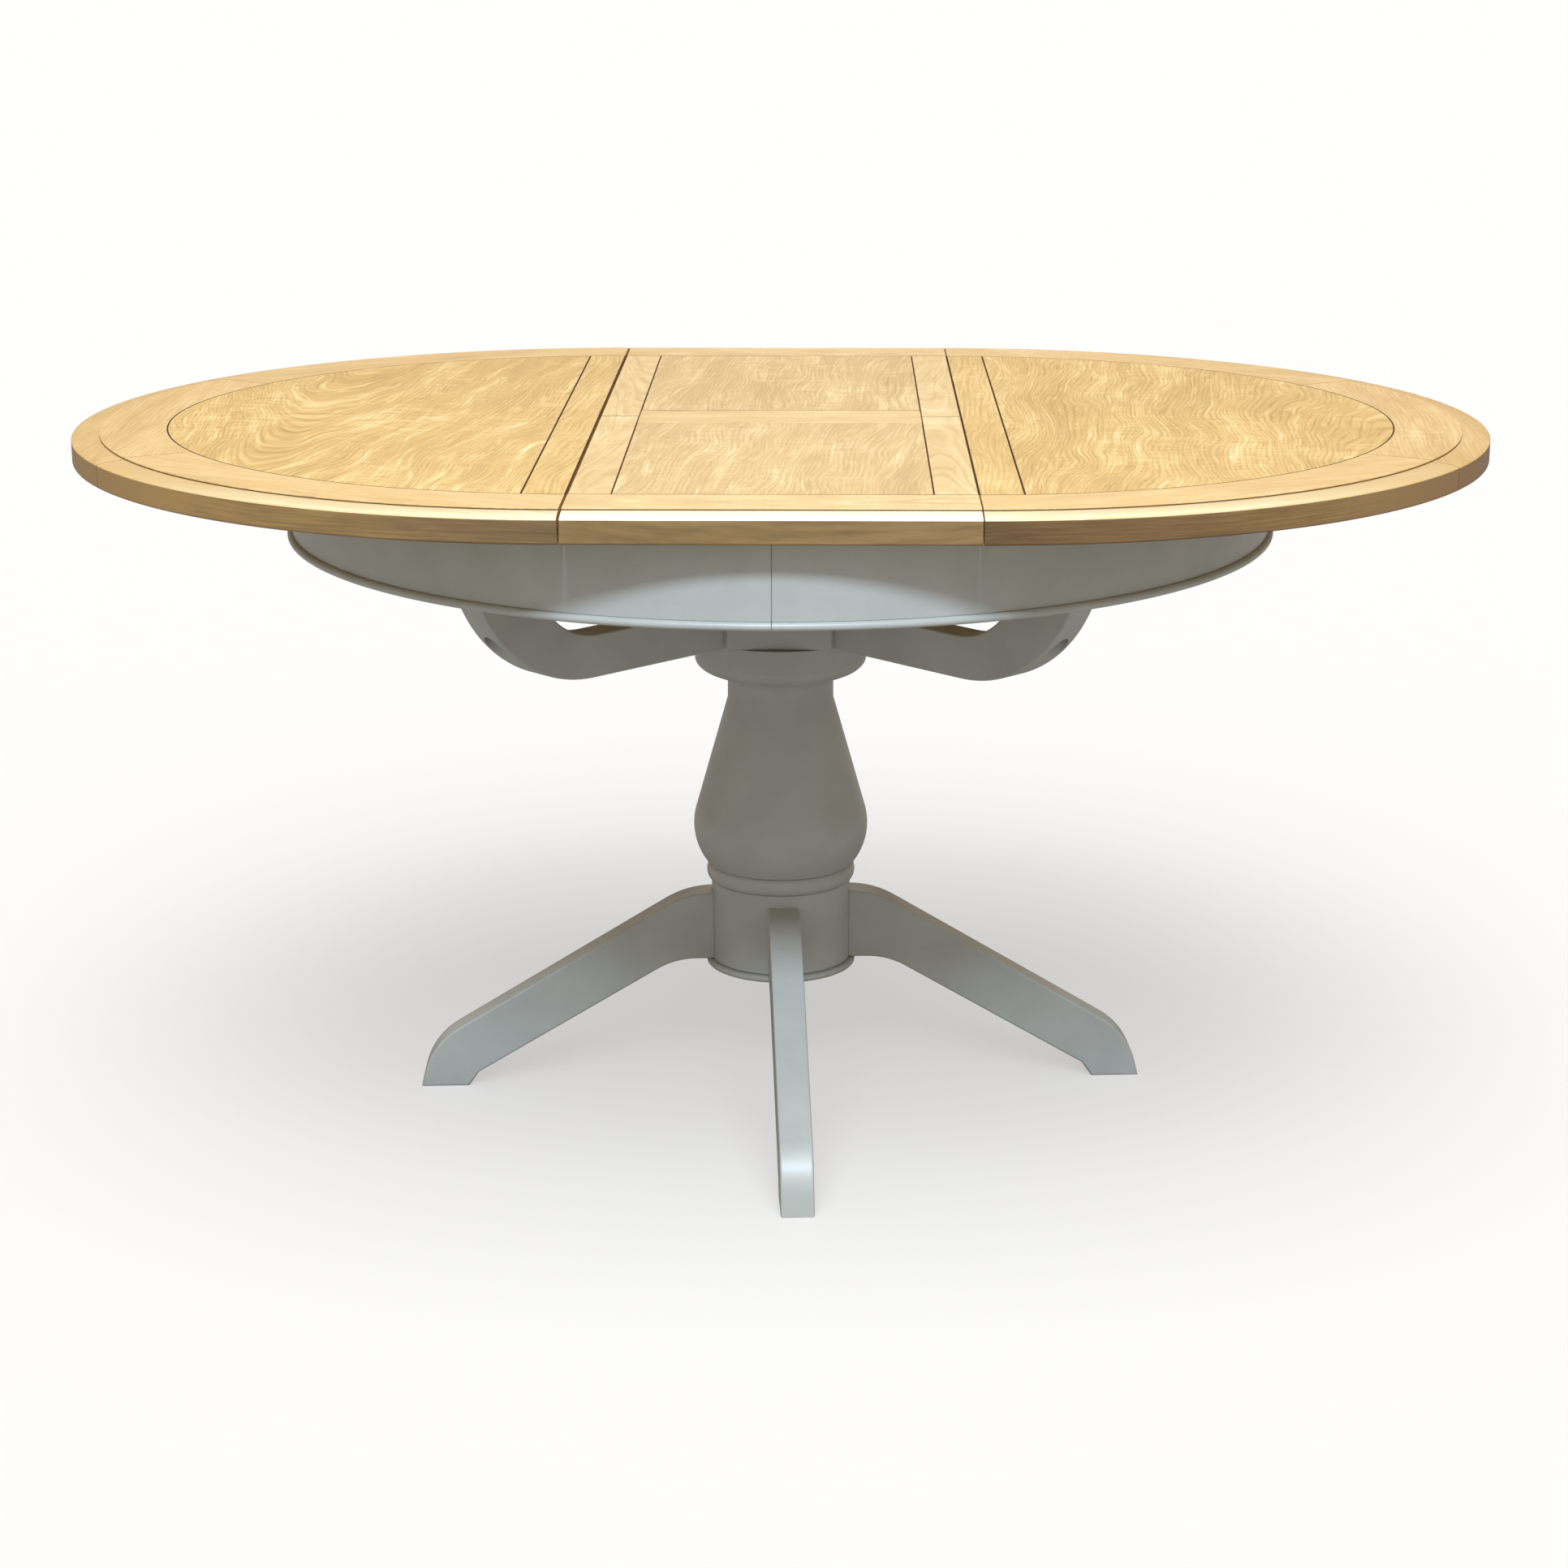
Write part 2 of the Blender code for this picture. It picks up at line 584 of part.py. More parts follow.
# --- pedestal --------------------------------------------------------------------------------
def pedestal():
    """Turned column between the hub and the legs, built up from five turned pieces."""
    ring_top = COLLAR_TOP + TOUCH + COLLAR_RING_HEIGHT
    foot = ring_top + TOUCH
    disc_bottom = DISC_TOP - DISC_EDGE - DISC_OVOLO
    ease = 0.0015
    ovolo = [
        (NECK_RADIUS + (DISC_RADIUS - NECK_RADIUS) * cos(a),
         disc_bottom + DISC_OVOLO * (1 - sin(a)))
        for a in [i * pi / 8 for i in range(5)]
    ]
    disc = [(0, DISC_TOP), (DISC_RADIUS - ease, DISC_TOP), (DISC_RADIUS, DISC_TOP - ease), *ovolo]
    turned("pedestal_top_disc", [*disc, (0, disc_bottom)], PAINT)

    neck_top = disc_bottom - TOUCH
    neck_foot = (NECK_RADIUS, neck_top - NECK_HEIGHT)
    centre = (BELLY_RADIUS - BELLY_ARC, foot + BELLY_RISE)
    away = (neck_foot[0] - centre[0], neck_foot[1] - centre[1])
    tangent = atan2(away[1], away[0]) - acos(BELLY_ARC / hypot(*away))
    belly = arc(centre, BELLY_ARC, tangent, -asin(BELLY_RISE / BELLY_ARC), 10)
    neck = [(0, neck_top), (NECK_WAIST, neck_top), (NECK_RADIUS, neck_top - 0.009), neck_foot]
    turned("pedestal_column", [*neck, *belly, (0, foot)], PAINT)

    half = COLLAR_RING_HEIGHT / 2
    mid = COLLAR_TOP + TOUCH + half
    round_off = [
        (COLLAR_RING_RADIUS - 0.006 + 0.006 * cos(a), mid + half * sin(a))
        for a in [pi / 2 - i * pi / 6 for i in range(7)]
    ]
    turned("pedestal_bead_ring", [(0, mid + half), *round_off, (0, mid - half)], PAINT)

    ring_top = COLLAR_BOTTOM + BASE_RING_HEIGHT
    collar_low = ring_top + TOUCH
    turned("leg_collar", [
        (0, COLLAR_TOP), (COLLAR_RADIUS, COLLAR_TOP), (COLLAR_RADIUS, collar_low), (0, collar_low)
    ], PAINT)
    nose = 0.002
    turned("base_ring", [
        (0, ring_top), (BASE_RING_RADIUS - nose, ring_top), (BASE_RING_RADIUS, ring_top - nose),
        (BASE_RING_RADIUS, COLLAR_BOTTOM + nose), (BASE_RING_RADIUS - nose, COLLAR_BOTTOM),
        (0, COLLAR_BOTTOM),
    ], PAINT)


def leg_outline():
    """Leg in (s, z): level at the collar, one long slope, then a rounded toe and a short heel."""
    root = COLLAR_RADIUS / 2
    under = COLLAR_BOTTOM + BASE_RING_HEIGHT + 2 * TOUCH
    top_arc = arc((LEG_TOP_START, LEG_ROOT_TOP - LEG_TOP_ARC), LEG_TOP_ARC,
                  pi / 2, pi / 2 - LEG_SLOPE, 6)
    start = top_arc[-1]
    # corner where the upper slope would meet the end face
    run = (start[1] - (LEG_FOOT_REACH - start[0]) * tan(LEG_SLOPE))
    corner_z = run / (1 - tan(LEG_SLOPE) / tan(LEG_END_SLOPE))
    corner = (LEG_FOOT_REACH - corner_z / tan(LEG_END_SLOPE), corner_z)
    bend = (LEG_END_SLOPE - LEG_SLOPE) / 2
    back = LEG_TOE_ARC * tan(bend)
    centre = (corner[0] - back * cos(LEG_SLOPE) - LEG_TOE_ARC * sin(LEG_SLOPE),
              corner[1] + back * sin(LEG_SLOPE) - LEG_TOE_ARC * cos(LEG_SLOPE))
    toe = arc(centre, LEG_TOE_ARC, pi / 2 - LEG_SLOPE, pi / 2 - LEG_END_SLOPE, 6)
    heel = LEG_FOOT_REACH - LEG_FOOT_LENGTH
    heel_top = (heel - LEG_HEEL_RISE / tan(LEG_HEEL_SLOPE), LEG_HEEL_RISE)
    under_arc = arc((LEG_UNDER_START, under - LEG_UNDER_ARC), LEG_UNDER_ARC,
                    pi / 2 - LEG_SLOPE, pi / 2, 6)
    return [
        (root, LEG_ROOT_TOP), *top_arc, *toe, (LEG_FOOT_REACH, 0), (heel, 0), heel_top,
        *under_arc, (root, under),
    ]


def legs():
    scribe = cylinder(
        "cut_collar", COLLAR_RADIUS + TOUCH, 2 * LEG_ROOT_TOP, (0, 0, LEG_ROOT_TOP),
        sides=TURN_STEPS,
    )
    for index, name in enumerate(("right", "back", "left", "front")):
        heading = LEG_TURN + index * pi / 2
        leg = upright_board(f"{name}_leg", leg_outline(), LEG_THICKNESS, heading, PAINT)
        bevel(leg, EASED)
        cut(leg, scribe)


# --- assembly --------------------------------------------------------------------------------
clear_scene()
pieces = new_collection(PART)
cutters = new_collection("cutters")

SIDES = (("left", -1), ("right", 1))
PLACES = (("front", -1), ("back", 1))
for side, x_sign in SIDES:
    slide = half_top(side, x_sign)
    for place, y_sign in PLACES:
        runner(side, x_sign, place, y_sign, slide)
        turn_button(side, x_sign, place, y_sign, slide)
    apron_half(side, 0 if x_sign > 0 else pi)
    cross_board(side, x_sign)

for place, y_sign in PLACES:
    slide_rail(place, y_sign)
    splice_block(place, y_sign)
    leaf_pieces = leaf_half(place, y_sign)
    if place == "back":
        fold = joint_empty("back_leaf_fold", (0, 0, HEIGHT))
        for item in leaf_pieces:
            hang(item, fold, fold.location)

hub()
for index, name in enumerate(("back_right", "back_left", "front_left", "front_right")):
    arm(name, pi / 4 + index * pi / 2)
pedestal()
legs()
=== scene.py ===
# %% [markdown]
# # An extending pedestal table, oak over a painted frame
# The table is drawn here around its engineering model: every CAD board, slide and bolt is already
# in place, and this script gives each visible piece its finished edges and its finish.
# Two ways are open for each piece: keep the CAD node and give it a material, or build a finer mesh
# that stands for it. Slides, bolts and hinge barrels keep their CAD shape, because it is right.
# Mouldings, boards, turnings, legs and arms are built again, because the eye follows their curves
# and their eased edges, and those need more and smaller faces than the engineering model has.

# %% The frame
import json
from math import acos, asin, atan2, copysign, cos, hypot, pi, radians, sin, sqrt, tan

import bmesh
import bpy
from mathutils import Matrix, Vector

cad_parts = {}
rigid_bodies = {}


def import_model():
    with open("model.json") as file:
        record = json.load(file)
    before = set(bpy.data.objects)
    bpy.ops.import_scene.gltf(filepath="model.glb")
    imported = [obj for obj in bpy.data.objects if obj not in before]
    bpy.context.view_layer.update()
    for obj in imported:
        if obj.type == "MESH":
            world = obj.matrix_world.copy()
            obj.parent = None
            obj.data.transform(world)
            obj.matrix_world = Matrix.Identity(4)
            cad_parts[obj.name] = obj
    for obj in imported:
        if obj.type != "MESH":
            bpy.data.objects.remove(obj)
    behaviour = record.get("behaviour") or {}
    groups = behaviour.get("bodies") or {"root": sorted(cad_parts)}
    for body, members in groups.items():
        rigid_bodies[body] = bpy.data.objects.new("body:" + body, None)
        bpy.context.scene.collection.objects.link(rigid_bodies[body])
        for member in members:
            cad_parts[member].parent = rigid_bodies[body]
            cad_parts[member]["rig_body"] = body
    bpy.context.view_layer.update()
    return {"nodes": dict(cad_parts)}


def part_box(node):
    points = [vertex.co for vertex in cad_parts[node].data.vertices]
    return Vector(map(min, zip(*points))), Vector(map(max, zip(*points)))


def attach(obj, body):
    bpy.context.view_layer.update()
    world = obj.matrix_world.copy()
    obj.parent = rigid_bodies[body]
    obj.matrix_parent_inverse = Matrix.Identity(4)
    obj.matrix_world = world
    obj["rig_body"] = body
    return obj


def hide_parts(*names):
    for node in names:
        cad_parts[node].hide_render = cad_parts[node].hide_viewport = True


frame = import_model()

# %% [markdown]
# ## Sizes
# A piece that stands for a CAD node has to lie exactly where that node lies. The sizes could be
# typed in again, but then they could drift, so every place here is read from the boxes of the
# nodes. Only what a box can't tell, such as a moulding's profile, is a number of its own.

# %% Sizes read from the frame
def low(node):
    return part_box(node)[0]


def high(node):
    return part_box(node)[1]


TOP = high("front_leaf_panel").z
BOARD_BOTTOM = low("front_leaf_panel").z
EDGE_BOTTOM = low("front_leaf_end_rail").z
JOINT_X = low("right_inner_stile").x
HALF_LEAF = high("front_leaf_end_rail").x
RADIUS = high("right_rim_end").x - JOINT_X
RIM_INNER = low("back_leaf_end_rail").y
STILE_WIDTH = high("right_inner_stile").x - JOINT_X
APRON_BOTTOM = low("right_apron").z
APRON_TOP = high("right_apron").z
APRON_RADIUS = high("right_apron").x
HUB_BOTTOM = low("hub_block").z
HUB_TOP = high("hub_block").z
SEAM = 0.0003           # gap between two pieces that touch
print("top", round(TOP, 4), "radius", round(RADIUS, 4), "apron", round(APRON_RADIUS, 4))

# %% [markdown]
# ## Three helpers for materials
# Colours are chosen as the sRGB hex values that a paint chart or a picture editor shows. Shaders
# add up light, so they need linear values, and one function turns one into the other.
# The second helper adds one node with all that belongs to it, and gives its output. An entry can
# be a fixed value or another node's output, so each material below reads like a recipe.
# The third starts a material. What is the same everywhere is set on the shader's own sockets, and
# only what varies gets nodes.

# %% Colour, nodes and materials
def linear(hex_colour):
    """An sRGB hex colour as the linear values that a shader takes."""
    parts = [int(hex_colour[i:i + 2], 16) / 255 for i in (1, 3, 5)]
    return (*[c / 12.92 if c <= 0.04045 else ((c + 0.055) / 1.055) ** 2.4 for c in parts], 1.0)


def grey(value):
    return (value, value, value, 1.0)


def add_node(tree, kind, entries=None, stops=(), output=0):
    """The output of a new node. An entry is a property of the node or one of its inputs, which
    takes a value or another node's output. stops are a ramp's positions with their colours."""
    node = tree.nodes.new("ShaderNode" + kind)
    for name, value in (entries or {}).items():
        if isinstance(name, str) and hasattr(node, name):
            setattr(node, name, value)
        elif isinstance(value, bpy.types.NodeSocket):
            tree.links.new(value, node.inputs[name])
        else:
            node.inputs[name].default_value = value
    if stops:
        while len(node.color_ramp.elements) < len(stops):
            node.color_ramp.elements.new(0.5)
        for element, (position, colour) in zip(node.color_ramp.elements, stops):
            element.position = position
            element.color = colour
    return node.outputs[output]


def new_material(name, values):
    """A material with its node tree and its shader, whose fixed values are set."""
    material = bpy.data.materials.new(name)
    material.use_nodes = True
    shader = material.node_tree.nodes["Principled BSDF"]
    for socket, value in values.items():
        shader.inputs[socket].default_value = value
    return material, material.node_tree, shader


print("a mid oak is", [round(c, 3) for c in linear("#c9a66b")[:3]])

# %% [markdown]
# ## A pattern drawn out along the grain
# Wood and brushed paint have the same kind of unevenness: noise that changes slowly one way and
# fast the other. Noise in a shader is as wide as it is long, so the place that it is read at is
# scaled by another amount along each axis first. A wave texture would give stripes too, but as
# regular as a fence.

# %% Drawn-out noise
def drawn_out(tree, place, per_metre, detail=2.0, distortion=0.0, offset=(0, 0, 0)):
    """Noise with this many changes per metre along each axis of the place."""
    scaled = add_node(tree, "Mapping", {"Vector": place, "Scale": per_metre, "Location": offset})
    return add_node(tree, "TexNoise", {
        "Vector": scaled, "Scale": 1.0, "Detail": detail, "Roughness": 0.60, "Distortion": distortion,
    })


print("drawn-out noise is ready")

# %% [markdown]
# ## Oak
# The top is European oak, crown cut, with a clear satin lacquer. A crown-cut board is sliced beside
# the heart of the log, so its yearly rings open out into tall arches along the middle and run as
# close lines along the sides. An image of wood would do, but it would repeat and would have to be
# unwrapped on each piece. Instead the log itself is described: how far a point is from the heart,
# plus a little taper along the trunk, gives the ring that the point lies in, and the arches come by
# themselves wherever a board cuts through. Each board gets its own place in the log.
# Six layers lie over each other: the rings, broad bands and fine pale streaks that follow them, the
# open pores (rows of dashes along the grain), pale ripples of curly figure in some places only, and
# slow changes of tone. Each is added to a middle grey with its own weight, and one ramp turns the
# sum into colour.

# %% Oak material
RING_SPACING = 0.0050       # yearly ring
STREAK_WIDTH = 0.0090       # pale streaks that follow the rings
PORE_WIDTH = 0.0020         # rows of pores: 0.3 mm in the tree, drawn seven times coarser to show
PORE_LENGTH = 0.060
RIPPLE = 0.0110             # one ripple of curly figure, along the grain
TRUNK_WANDER = 0.110        # how far the heart wanders from a straight line, over half a metre
CURL_WAVE = 0.005           # and how far curl bends the fibres, over a few centimetres
OAK_IOR = 1.50              # lacquer over wood


def oak(name, heading, heart, tones, figure=1.0, curl=1.0, roughness=0.40, fade=0.0):
    """Lacquered oak with its grain along heading. heart is the log's heart line: its place across
    the grain, its depth under the face, how fast the arches open, and a place along the log.
    tones are dark, body and pale; fade makes the board paler along the grain, per metre."""
    material, tree, shader = new_material(name, {"Roughness": roughness, "IOR": OAK_IOR})
    across, depth, opening, along = heart
    grain = add_node(tree, "Mapping", {
        "Vector": add_node(tree, "TexCoord", output="Object"),
        "Rotation": (0, 0, -heading), "Location": (along, -across, depth - TOP),
    })
    forward, sideways, upward = (
        add_node(tree, "SeparateXYZ", {0: grain}, output=axis) for axis in range(3)
    )

    # distance from the heart, with the slow wander of a real trunk and the quick one of curl
    wander = drawn_out(tree, grain, (2.2, 6.0, 6.0))
    wave = drawn_out(tree, grain, (42.0, 18.0, 18.0), distortion=0.8)
    side = sideways
    for source, reach in ((wander, TRUNK_WANDER * figure), (wave, CURL_WAVE * curl)):
        side = add_node(tree, "Math", {"operation": "MULTIPLY_ADD", 0: source, 1: reach, 2: side})
    side = add_node(tree, "Math", {"operation": "SUBTRACT", 0: side, 1: TRUNK_WANDER * figure / 2})
    section = add_node(tree, "CombineXYZ", {0: side, 1: upward})
    radius = add_node(tree, "VectorMath", {"operation": "LENGTH", 0: section}, output="Value")
    radius = add_node(
        tree, "Math", {"operation": "MULTIPLY_ADD", 0: forward, 1: -opening, 2: radius}
    )
    log = add_node(tree, "CombineXYZ", {0: forward, 1: radius, 2: along})

    # yearly rings: a dark porous start, then smooth pale summer wood
    year = add_node(tree, "Math", {"operation": "DIVIDE", 0: radius, 1: RING_SPACING})
    year = add_node(tree, "Math", {"operation": "FRACT", 0: year})
    rings = add_node(tree, "ValToRGB", {0: year}, [
        (0.0, grey(0.45)), (0.12, grey(0.0)), (0.30, grey(0.5)), (0.80, grey(0.7)), (1.0, grey(0.45)),
    ])
    # bands, streaks and rows of pores, all of which follow the rings
    bands = drawn_out(tree, log, (1.5, 22.0, 1.0), 3.0)
    streaks = drawn_out(tree, log, (7.0, 1 / STREAK_WIDTH, 1.0), 4.0, 0.8)
    streaks = add_node(tree, "ValToRGB", {0: streaks}, [(0.52, grey(0.0)), (0.70, grey(1.0))])
    pores = drawn_out(tree, log, (1 / PORE_LENGTH, 1 / PORE_WIDTH, 1.0))
    # curly figure: ripples across the grain, only in patches
    patches = drawn_out(tree, grain, (4.0, 11.0, 11.0), 3.0, 0.5, (3.1, 1.7, 0.4))
    where = add_node(tree, "ValToRGB", {0: patches}, [(0.42, grey(0.0)), (0.62, grey(1.0))])
    ripples = drawn_out(tree, log, (1 / RIPPLE, 0.30 / RIPPLE, 1.0), 2.0, 1.2)
    ripples = add_node(tree, "Math", {"operation": "SUBTRACT", 0: ripples, 1: 0.5})
    ripples = add_node(tree, "Math", {"operation": "MULTIPLY", 0: ripples, 1: where})

    # each layer with its weight, and its middle, which leaves the sum at 0.5
    layers = (
        (rings, 0.34 * figure, 0.5), (bands, 0.70 * figure, 0.5), (streaks, 0.34 * curl, 0.2),
        (pores, 0.80, 0.5), (ripples, 0.90 * curl, 0.0), (patches, 0.50, 0.5),
        (forward, fade, along),
    )
    total = 0.5 - sum(weight * middle for _, weight, middle in layers)
    for source, weight, _ in layers:
        total = add_node(
            tree, "Math", {"operation": "MULTIPLY_ADD", 0: source, 1: weight, 2: total}
        )
    stops = [(position, linear(tone)) for position, tone in zip((0.10, 0.50, 0.95), tones)]
    colour = add_node(tree, "ValToRGB", {0: total}, stops)
    tree.links.new(colour, shader.inputs["Base Color"])
    bump = add_node(tree, "Bump", {"Height": pores, "Strength": 0.10, "Distance": 0.0004})
    tree.links.new(bump, shader.inputs["Normal"])
    return material


print("one yearly ring is", RING_SPACING, "m wide")

# %% [markdown]
# ## Tones of the oak
# A table top is never one colour. The two half tops come from one batch of boards, and the leaf,
# which lives folded in the dark, stays paler. The moulding's pale tones are a painted highlight of
# the light on its curve, palest beside the joints. The square edge under it is partly darker grain
# and partly painted shade, as it faces the front. Every groove holds stain that dried brown.
# So each of them has its own dark, body and pale tone over the same figure.

# %% Oak tones
HALF_TONES = ("#a98444", "#caa662", "#eacf94")
LEAF_TONES = ("#ab8c56", "#c8a970", "#e4cd99")
RAIL_TONES = ("#b39359", "#d1b37b", "#e9d4a6")
RIM_TONES = ("#ae894f", "#ceab70", "#e7cb98")
# painted highlight: pale tones that stand for the sheen of light on the mouldings
LEAF_NOSE_PAINTED_HIGHLIGHT_TONES = ("#d2bf96", "#e7d6b7", "#f8eed5")
RIM_NOSE_PAINTED_HIGHLIGHT_TONES = ("#c9a66c", "#cdb98d", "#e6dcc0")
# the square edge: partly darker grain, partly painted shade, as it faces the front out of the light
EDGE_GRAIN_AND_PAINTED_SHADE_TONES = {
    "left": ("#574328", "#795e39", "#a17d47"),
    "leaf": ("#62492c", "#85683d", "#a08156"),
    "right": ("#4e381c", "#70532e", "#957244"),
}
# painted light: the square edges grow paler towards the ends, where more light falls on them
EDGE_PAINTED_LIGHT_FADE = 1.5             # the edges grow paler towards the ends of the table
# painted highlight: the mouldings are palest beside the joints and grow yellower towards the ends
NOSE_PAINTED_HIGHLIGHT_FADE = 0.8             # and the mouldings grow yellower

groove_stain, _, _ = new_material(
    "stain in the grooves", {"Base Color": linear("#5b3f22"), "Roughness": 0.70}
)
ALONG_Y = pi / 2
print("oak tones:", HALF_TONES, LEAF_TONES)

# %% [markdown]
# ## Painted beech
# Frame, pedestal and legs are beech under a brushed satin paint, a warm grey. Such paint hides the
# wood but not the brush: it dries in faint soft strokes, and its gloss wanders a little. A flat
# grey would look like plastic, so slow cloudy changes and fine strokes move colour and roughness
# by a few hundredths, and a shallow bump keeps the highlights from being perfect.

# %% Satin paint
STROKE_WIDTH = 0.0022       # brush strokes, drawn twice as coarse as real, to show
STROKE_LENGTH = 0.0367
CLOUDS_PER_METRE = (14.0, 14.0, 14.0)

satin_paint, tree, shader = new_material("brushed satin paint", {"Roughness": 0.38})
place = add_node(tree, "TexCoord", output="Object")
strokes = drawn_out(tree, place, (1 / STROKE_LENGTH, 1 / STROKE_LENGTH, 1 / STROKE_WIDTH), 1.0)
clouds = drawn_out(tree, place, CLOUDS_PER_METRE, 3.0)
mixed = add_node(tree, "Math", {"operation": "MULTIPLY_ADD", 0: strokes, 1: 0.12, 2: clouds})
for socket, stops in (
    ("Base Color", [(0.30, linear("#a6a79f")), (0.80, linear("#b2b3ab"))]),
    ("Roughness", [(0.35, grey(0.42)), (0.75, grey(0.34))]),
):
    tree.links.new(add_node(tree, "ValToRGB", {0: mixed}, stops), shader.inputs[socket])
bump = add_node(tree, "Bump", {"Height": strokes, "Strength": 0.05, "Distance": 0.0003})
tree.links.new(bump, shader.inputs["Normal"])
print(satin_paint.name, "with strokes", STROKE_WIDTH, "m wide")

# %% [markdown]
# ## The hidden materials
# Slides, boards and blocks inside the frame are plain beech, waxed and not lacquered, with faint
# lines along the grain and the short brown ray flecks that tell beech from other woods. The flecks
# are the cells of a Voronoi texture drawn out along the grain. Bolts and turn buttons are
# zinc-plated steel, a little blue, and the leaf's hinge barrels are turned brass. Plating and
# polish vary a little from place to place, in colour and in gloss together.

# %% Beech, zinc and brass
def waxed_beech(name, along):
    """Waxed beech with its grain along one axis."""
    material, tree, shader = new_material(name, {"Roughness": 0.58})
    place = add_node(tree, "TexCoord", output="Object")
    lines = drawn_out(tree, place, [8.0 if a else 260.0 for a in along], 3.0)
    flecks = add_node(
        tree, "Mapping", {"Vector": place, "Scale": [130.0 if a else 900.0 for a in along]}
    )
    flecks = add_node(tree, "TexVoronoi", {"Vector": flecks, "Scale": 1.0}, output="Distance")
    flecks = add_node(tree, "ValToRGB", {0: flecks}, [(0.12, grey(0.0)), (0.30, grey(1.0))])
    mixed = add_node(tree, "Math", {"operation": "MULTIPLY_ADD", 0: flecks, 1: 0.25, 2: lines})
    stops = [(0.35, linear("#a97f55")), (0.75, linear("#cda679"))]
    tree.links.new(add_node(tree, "ValToRGB", {0: mixed}, stops), shader.inputs["Base Color"])
    return material


def polished_metal(name, light, shade, roughness, grit):
    """A metal whose surface varies from shade to light and from dull to bright."""
    material, tree, shader = new_material(name, {"Roughness": roughness, "Metallic": 1.0})
    place = add_node(tree, "TexCoord", output="Object")
    cloud = drawn_out(tree, place, [1 / grit] * 3, 3.0)
    for socket, stops in (
        ("Base Color", [(0.35, linear(shade)), (0.65, linear(light))]),
        ("Roughness", [(0.30, grey(roughness + 0.08)), (0.70, grey(roughness - 0.06))]),
    ):
        tree.links.new(add_node(tree, "ValToRGB", {0: cloud}, stops), shader.inputs[socket])
    return material


beech_x = waxed_beech("waxed beech along x", (1, 0, 0))
beech_y = waxed_beech("waxed beech along y", (0, 1, 0))
zinc = polished_metal("zinc-plated steel", "#c5c9cd", "#a4a9af", 0.34, 0.003)
brass = polished_metal("turned brass", "#d8b66a", "#b58f46", 0.30, 0.002)
print("hidden materials:", beech_x.name, beech_y.name, zinc.name, brass.name)

# %% [markdown]
# ## One way to build every shape
# Boards, mouldings, turnings, legs and arms are all a ring of points carried along a path: a board
# is its outline carried up, a rim is its section carried round, a turned column is a circle
# carried down its profile. One helper joins such rings into a closed skin. Primitives would need
# cutting and joining, with worse edges for it. Rounded edges come from the rings too: near each
# end the outline is drawn in a little, by quarter-circle steps.

# %% Rings and skins
def arc(centre, radius, start, end, count):
    """Points on an arc from start to end angle, both included."""
    turn = (end - start) / count
    return [
        (centre[0] + radius * cos(start + i * turn), centre[1] + radius * sin(start + i * turn))
        for i in range(count + 1)
    ]


def drawn_in(outline, distance):
    """A closed outline moved inwards by a distance, whichever way round it runs."""
    count = len(outline)
    area = sum(
        outline[i - 1][0] * outline[i][1] - outline[i][0] * outline[i - 1][1]
        for i in range(count)
    )
    inward = distance if area > 0 else -distance
    moved = []
    for i, (x, y) in enumerate(outline):
        before, after = outline[i - 1], outline[(i + 1) % count]
        one = Vector((x - before[0], y - before[1])).normalized()
        two = Vector((after[0] - x, after[1] - y)).normalized()
        normals = Vector((-one.y, one.x)) + Vector((-two.y, two.x))
        step = normals * (inward / max(0.2, 1 + one.dot(two)))
        moved.append((x + step.x, y + step.y))
    return moved


def rounding(size, steps=3):
    """(inset, rise) pairs round a quarter circle, from the outside up to the flat."""
    return [
        (size * (1 - cos(a)), size * sin(a))
        for a in [i * pi / 2 / steps for i in range(steps + 1)]
    ]


def skin(name, rings, finish=None):
    """A closed mesh object over rings of points. finish(i, j) gives the material slot of the face
    between rings i and i + 1 at point j."""
    bm = bmesh.new()
    rows = [[bm.verts.new(point) for point in ring] for ring in rings]
    count = len(rows[0])
    for i, (one, two) in enumerate(zip(rows, rows[1:])):
        for j in range(count):
            k = (j + 1) % count
            face = bm.faces.new((one[j], one[k], two[k], two[j]))
            face.material_index = finish(i, j) if finish else 0
    bm.faces.new(rows[0])
    bm.faces.new(rows[-1])
    bmesh.ops.recalc_face_normals(bm, faces=bm.faces)
    mesh = bpy.data.meshes.new(name)
    bm.to_mesh(mesh)
    bm.free()
    item = bpy.data.objects.new(name, mesh)
    bpy.context.scene.collection.objects.link(item)
    return item


SHARP = radians(35)         # edges over this angle stay sharp


def settle(item, body, materials, node):
    """Smooth shading, the materials, and the piece's place in the frame. Weighted normals keep
    broad faces flat, so that a narrow rounding doesn't pull their light askew."""
    for material in materials:
        item.data.materials.append(material)
    item.data.shade_smooth()
    for face in item.data.polygons:
        if len(face.vertices) > 4:
            face.use_smooth = False     # the flat face that closes a shape stays flat
    item.data.set_sharp_from_angle(angle=SHARP)
    weighted = item.modifiers.new("weighted normals", "WEIGHTED_NORMAL")
    weighted.keep_sharp = True
    weighted.weight = 100
    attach(item, body)
    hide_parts(node)


print("a 2 mm rounding:", [tuple(round(v, 5) for v in step) for step in rounding(0.002)])

# %% [markdown]
# ## Boards with a groove between them
# Where two boards of the top meet, their top edges are eased by half a millimetre or so, which
# makes the fine groove that shows every joint. The groove is real geometry, and its faces carry
# the dark stain. A line painted on one flat slab would lie over the grain and give no shadow.
# Once the table has been opened and closed for some time, the leaf no longer sits quite tight on
# one side. Here the left joint stands open by a little over a millimetre more at the top, and
# closed below, where the boards still bear on each other.

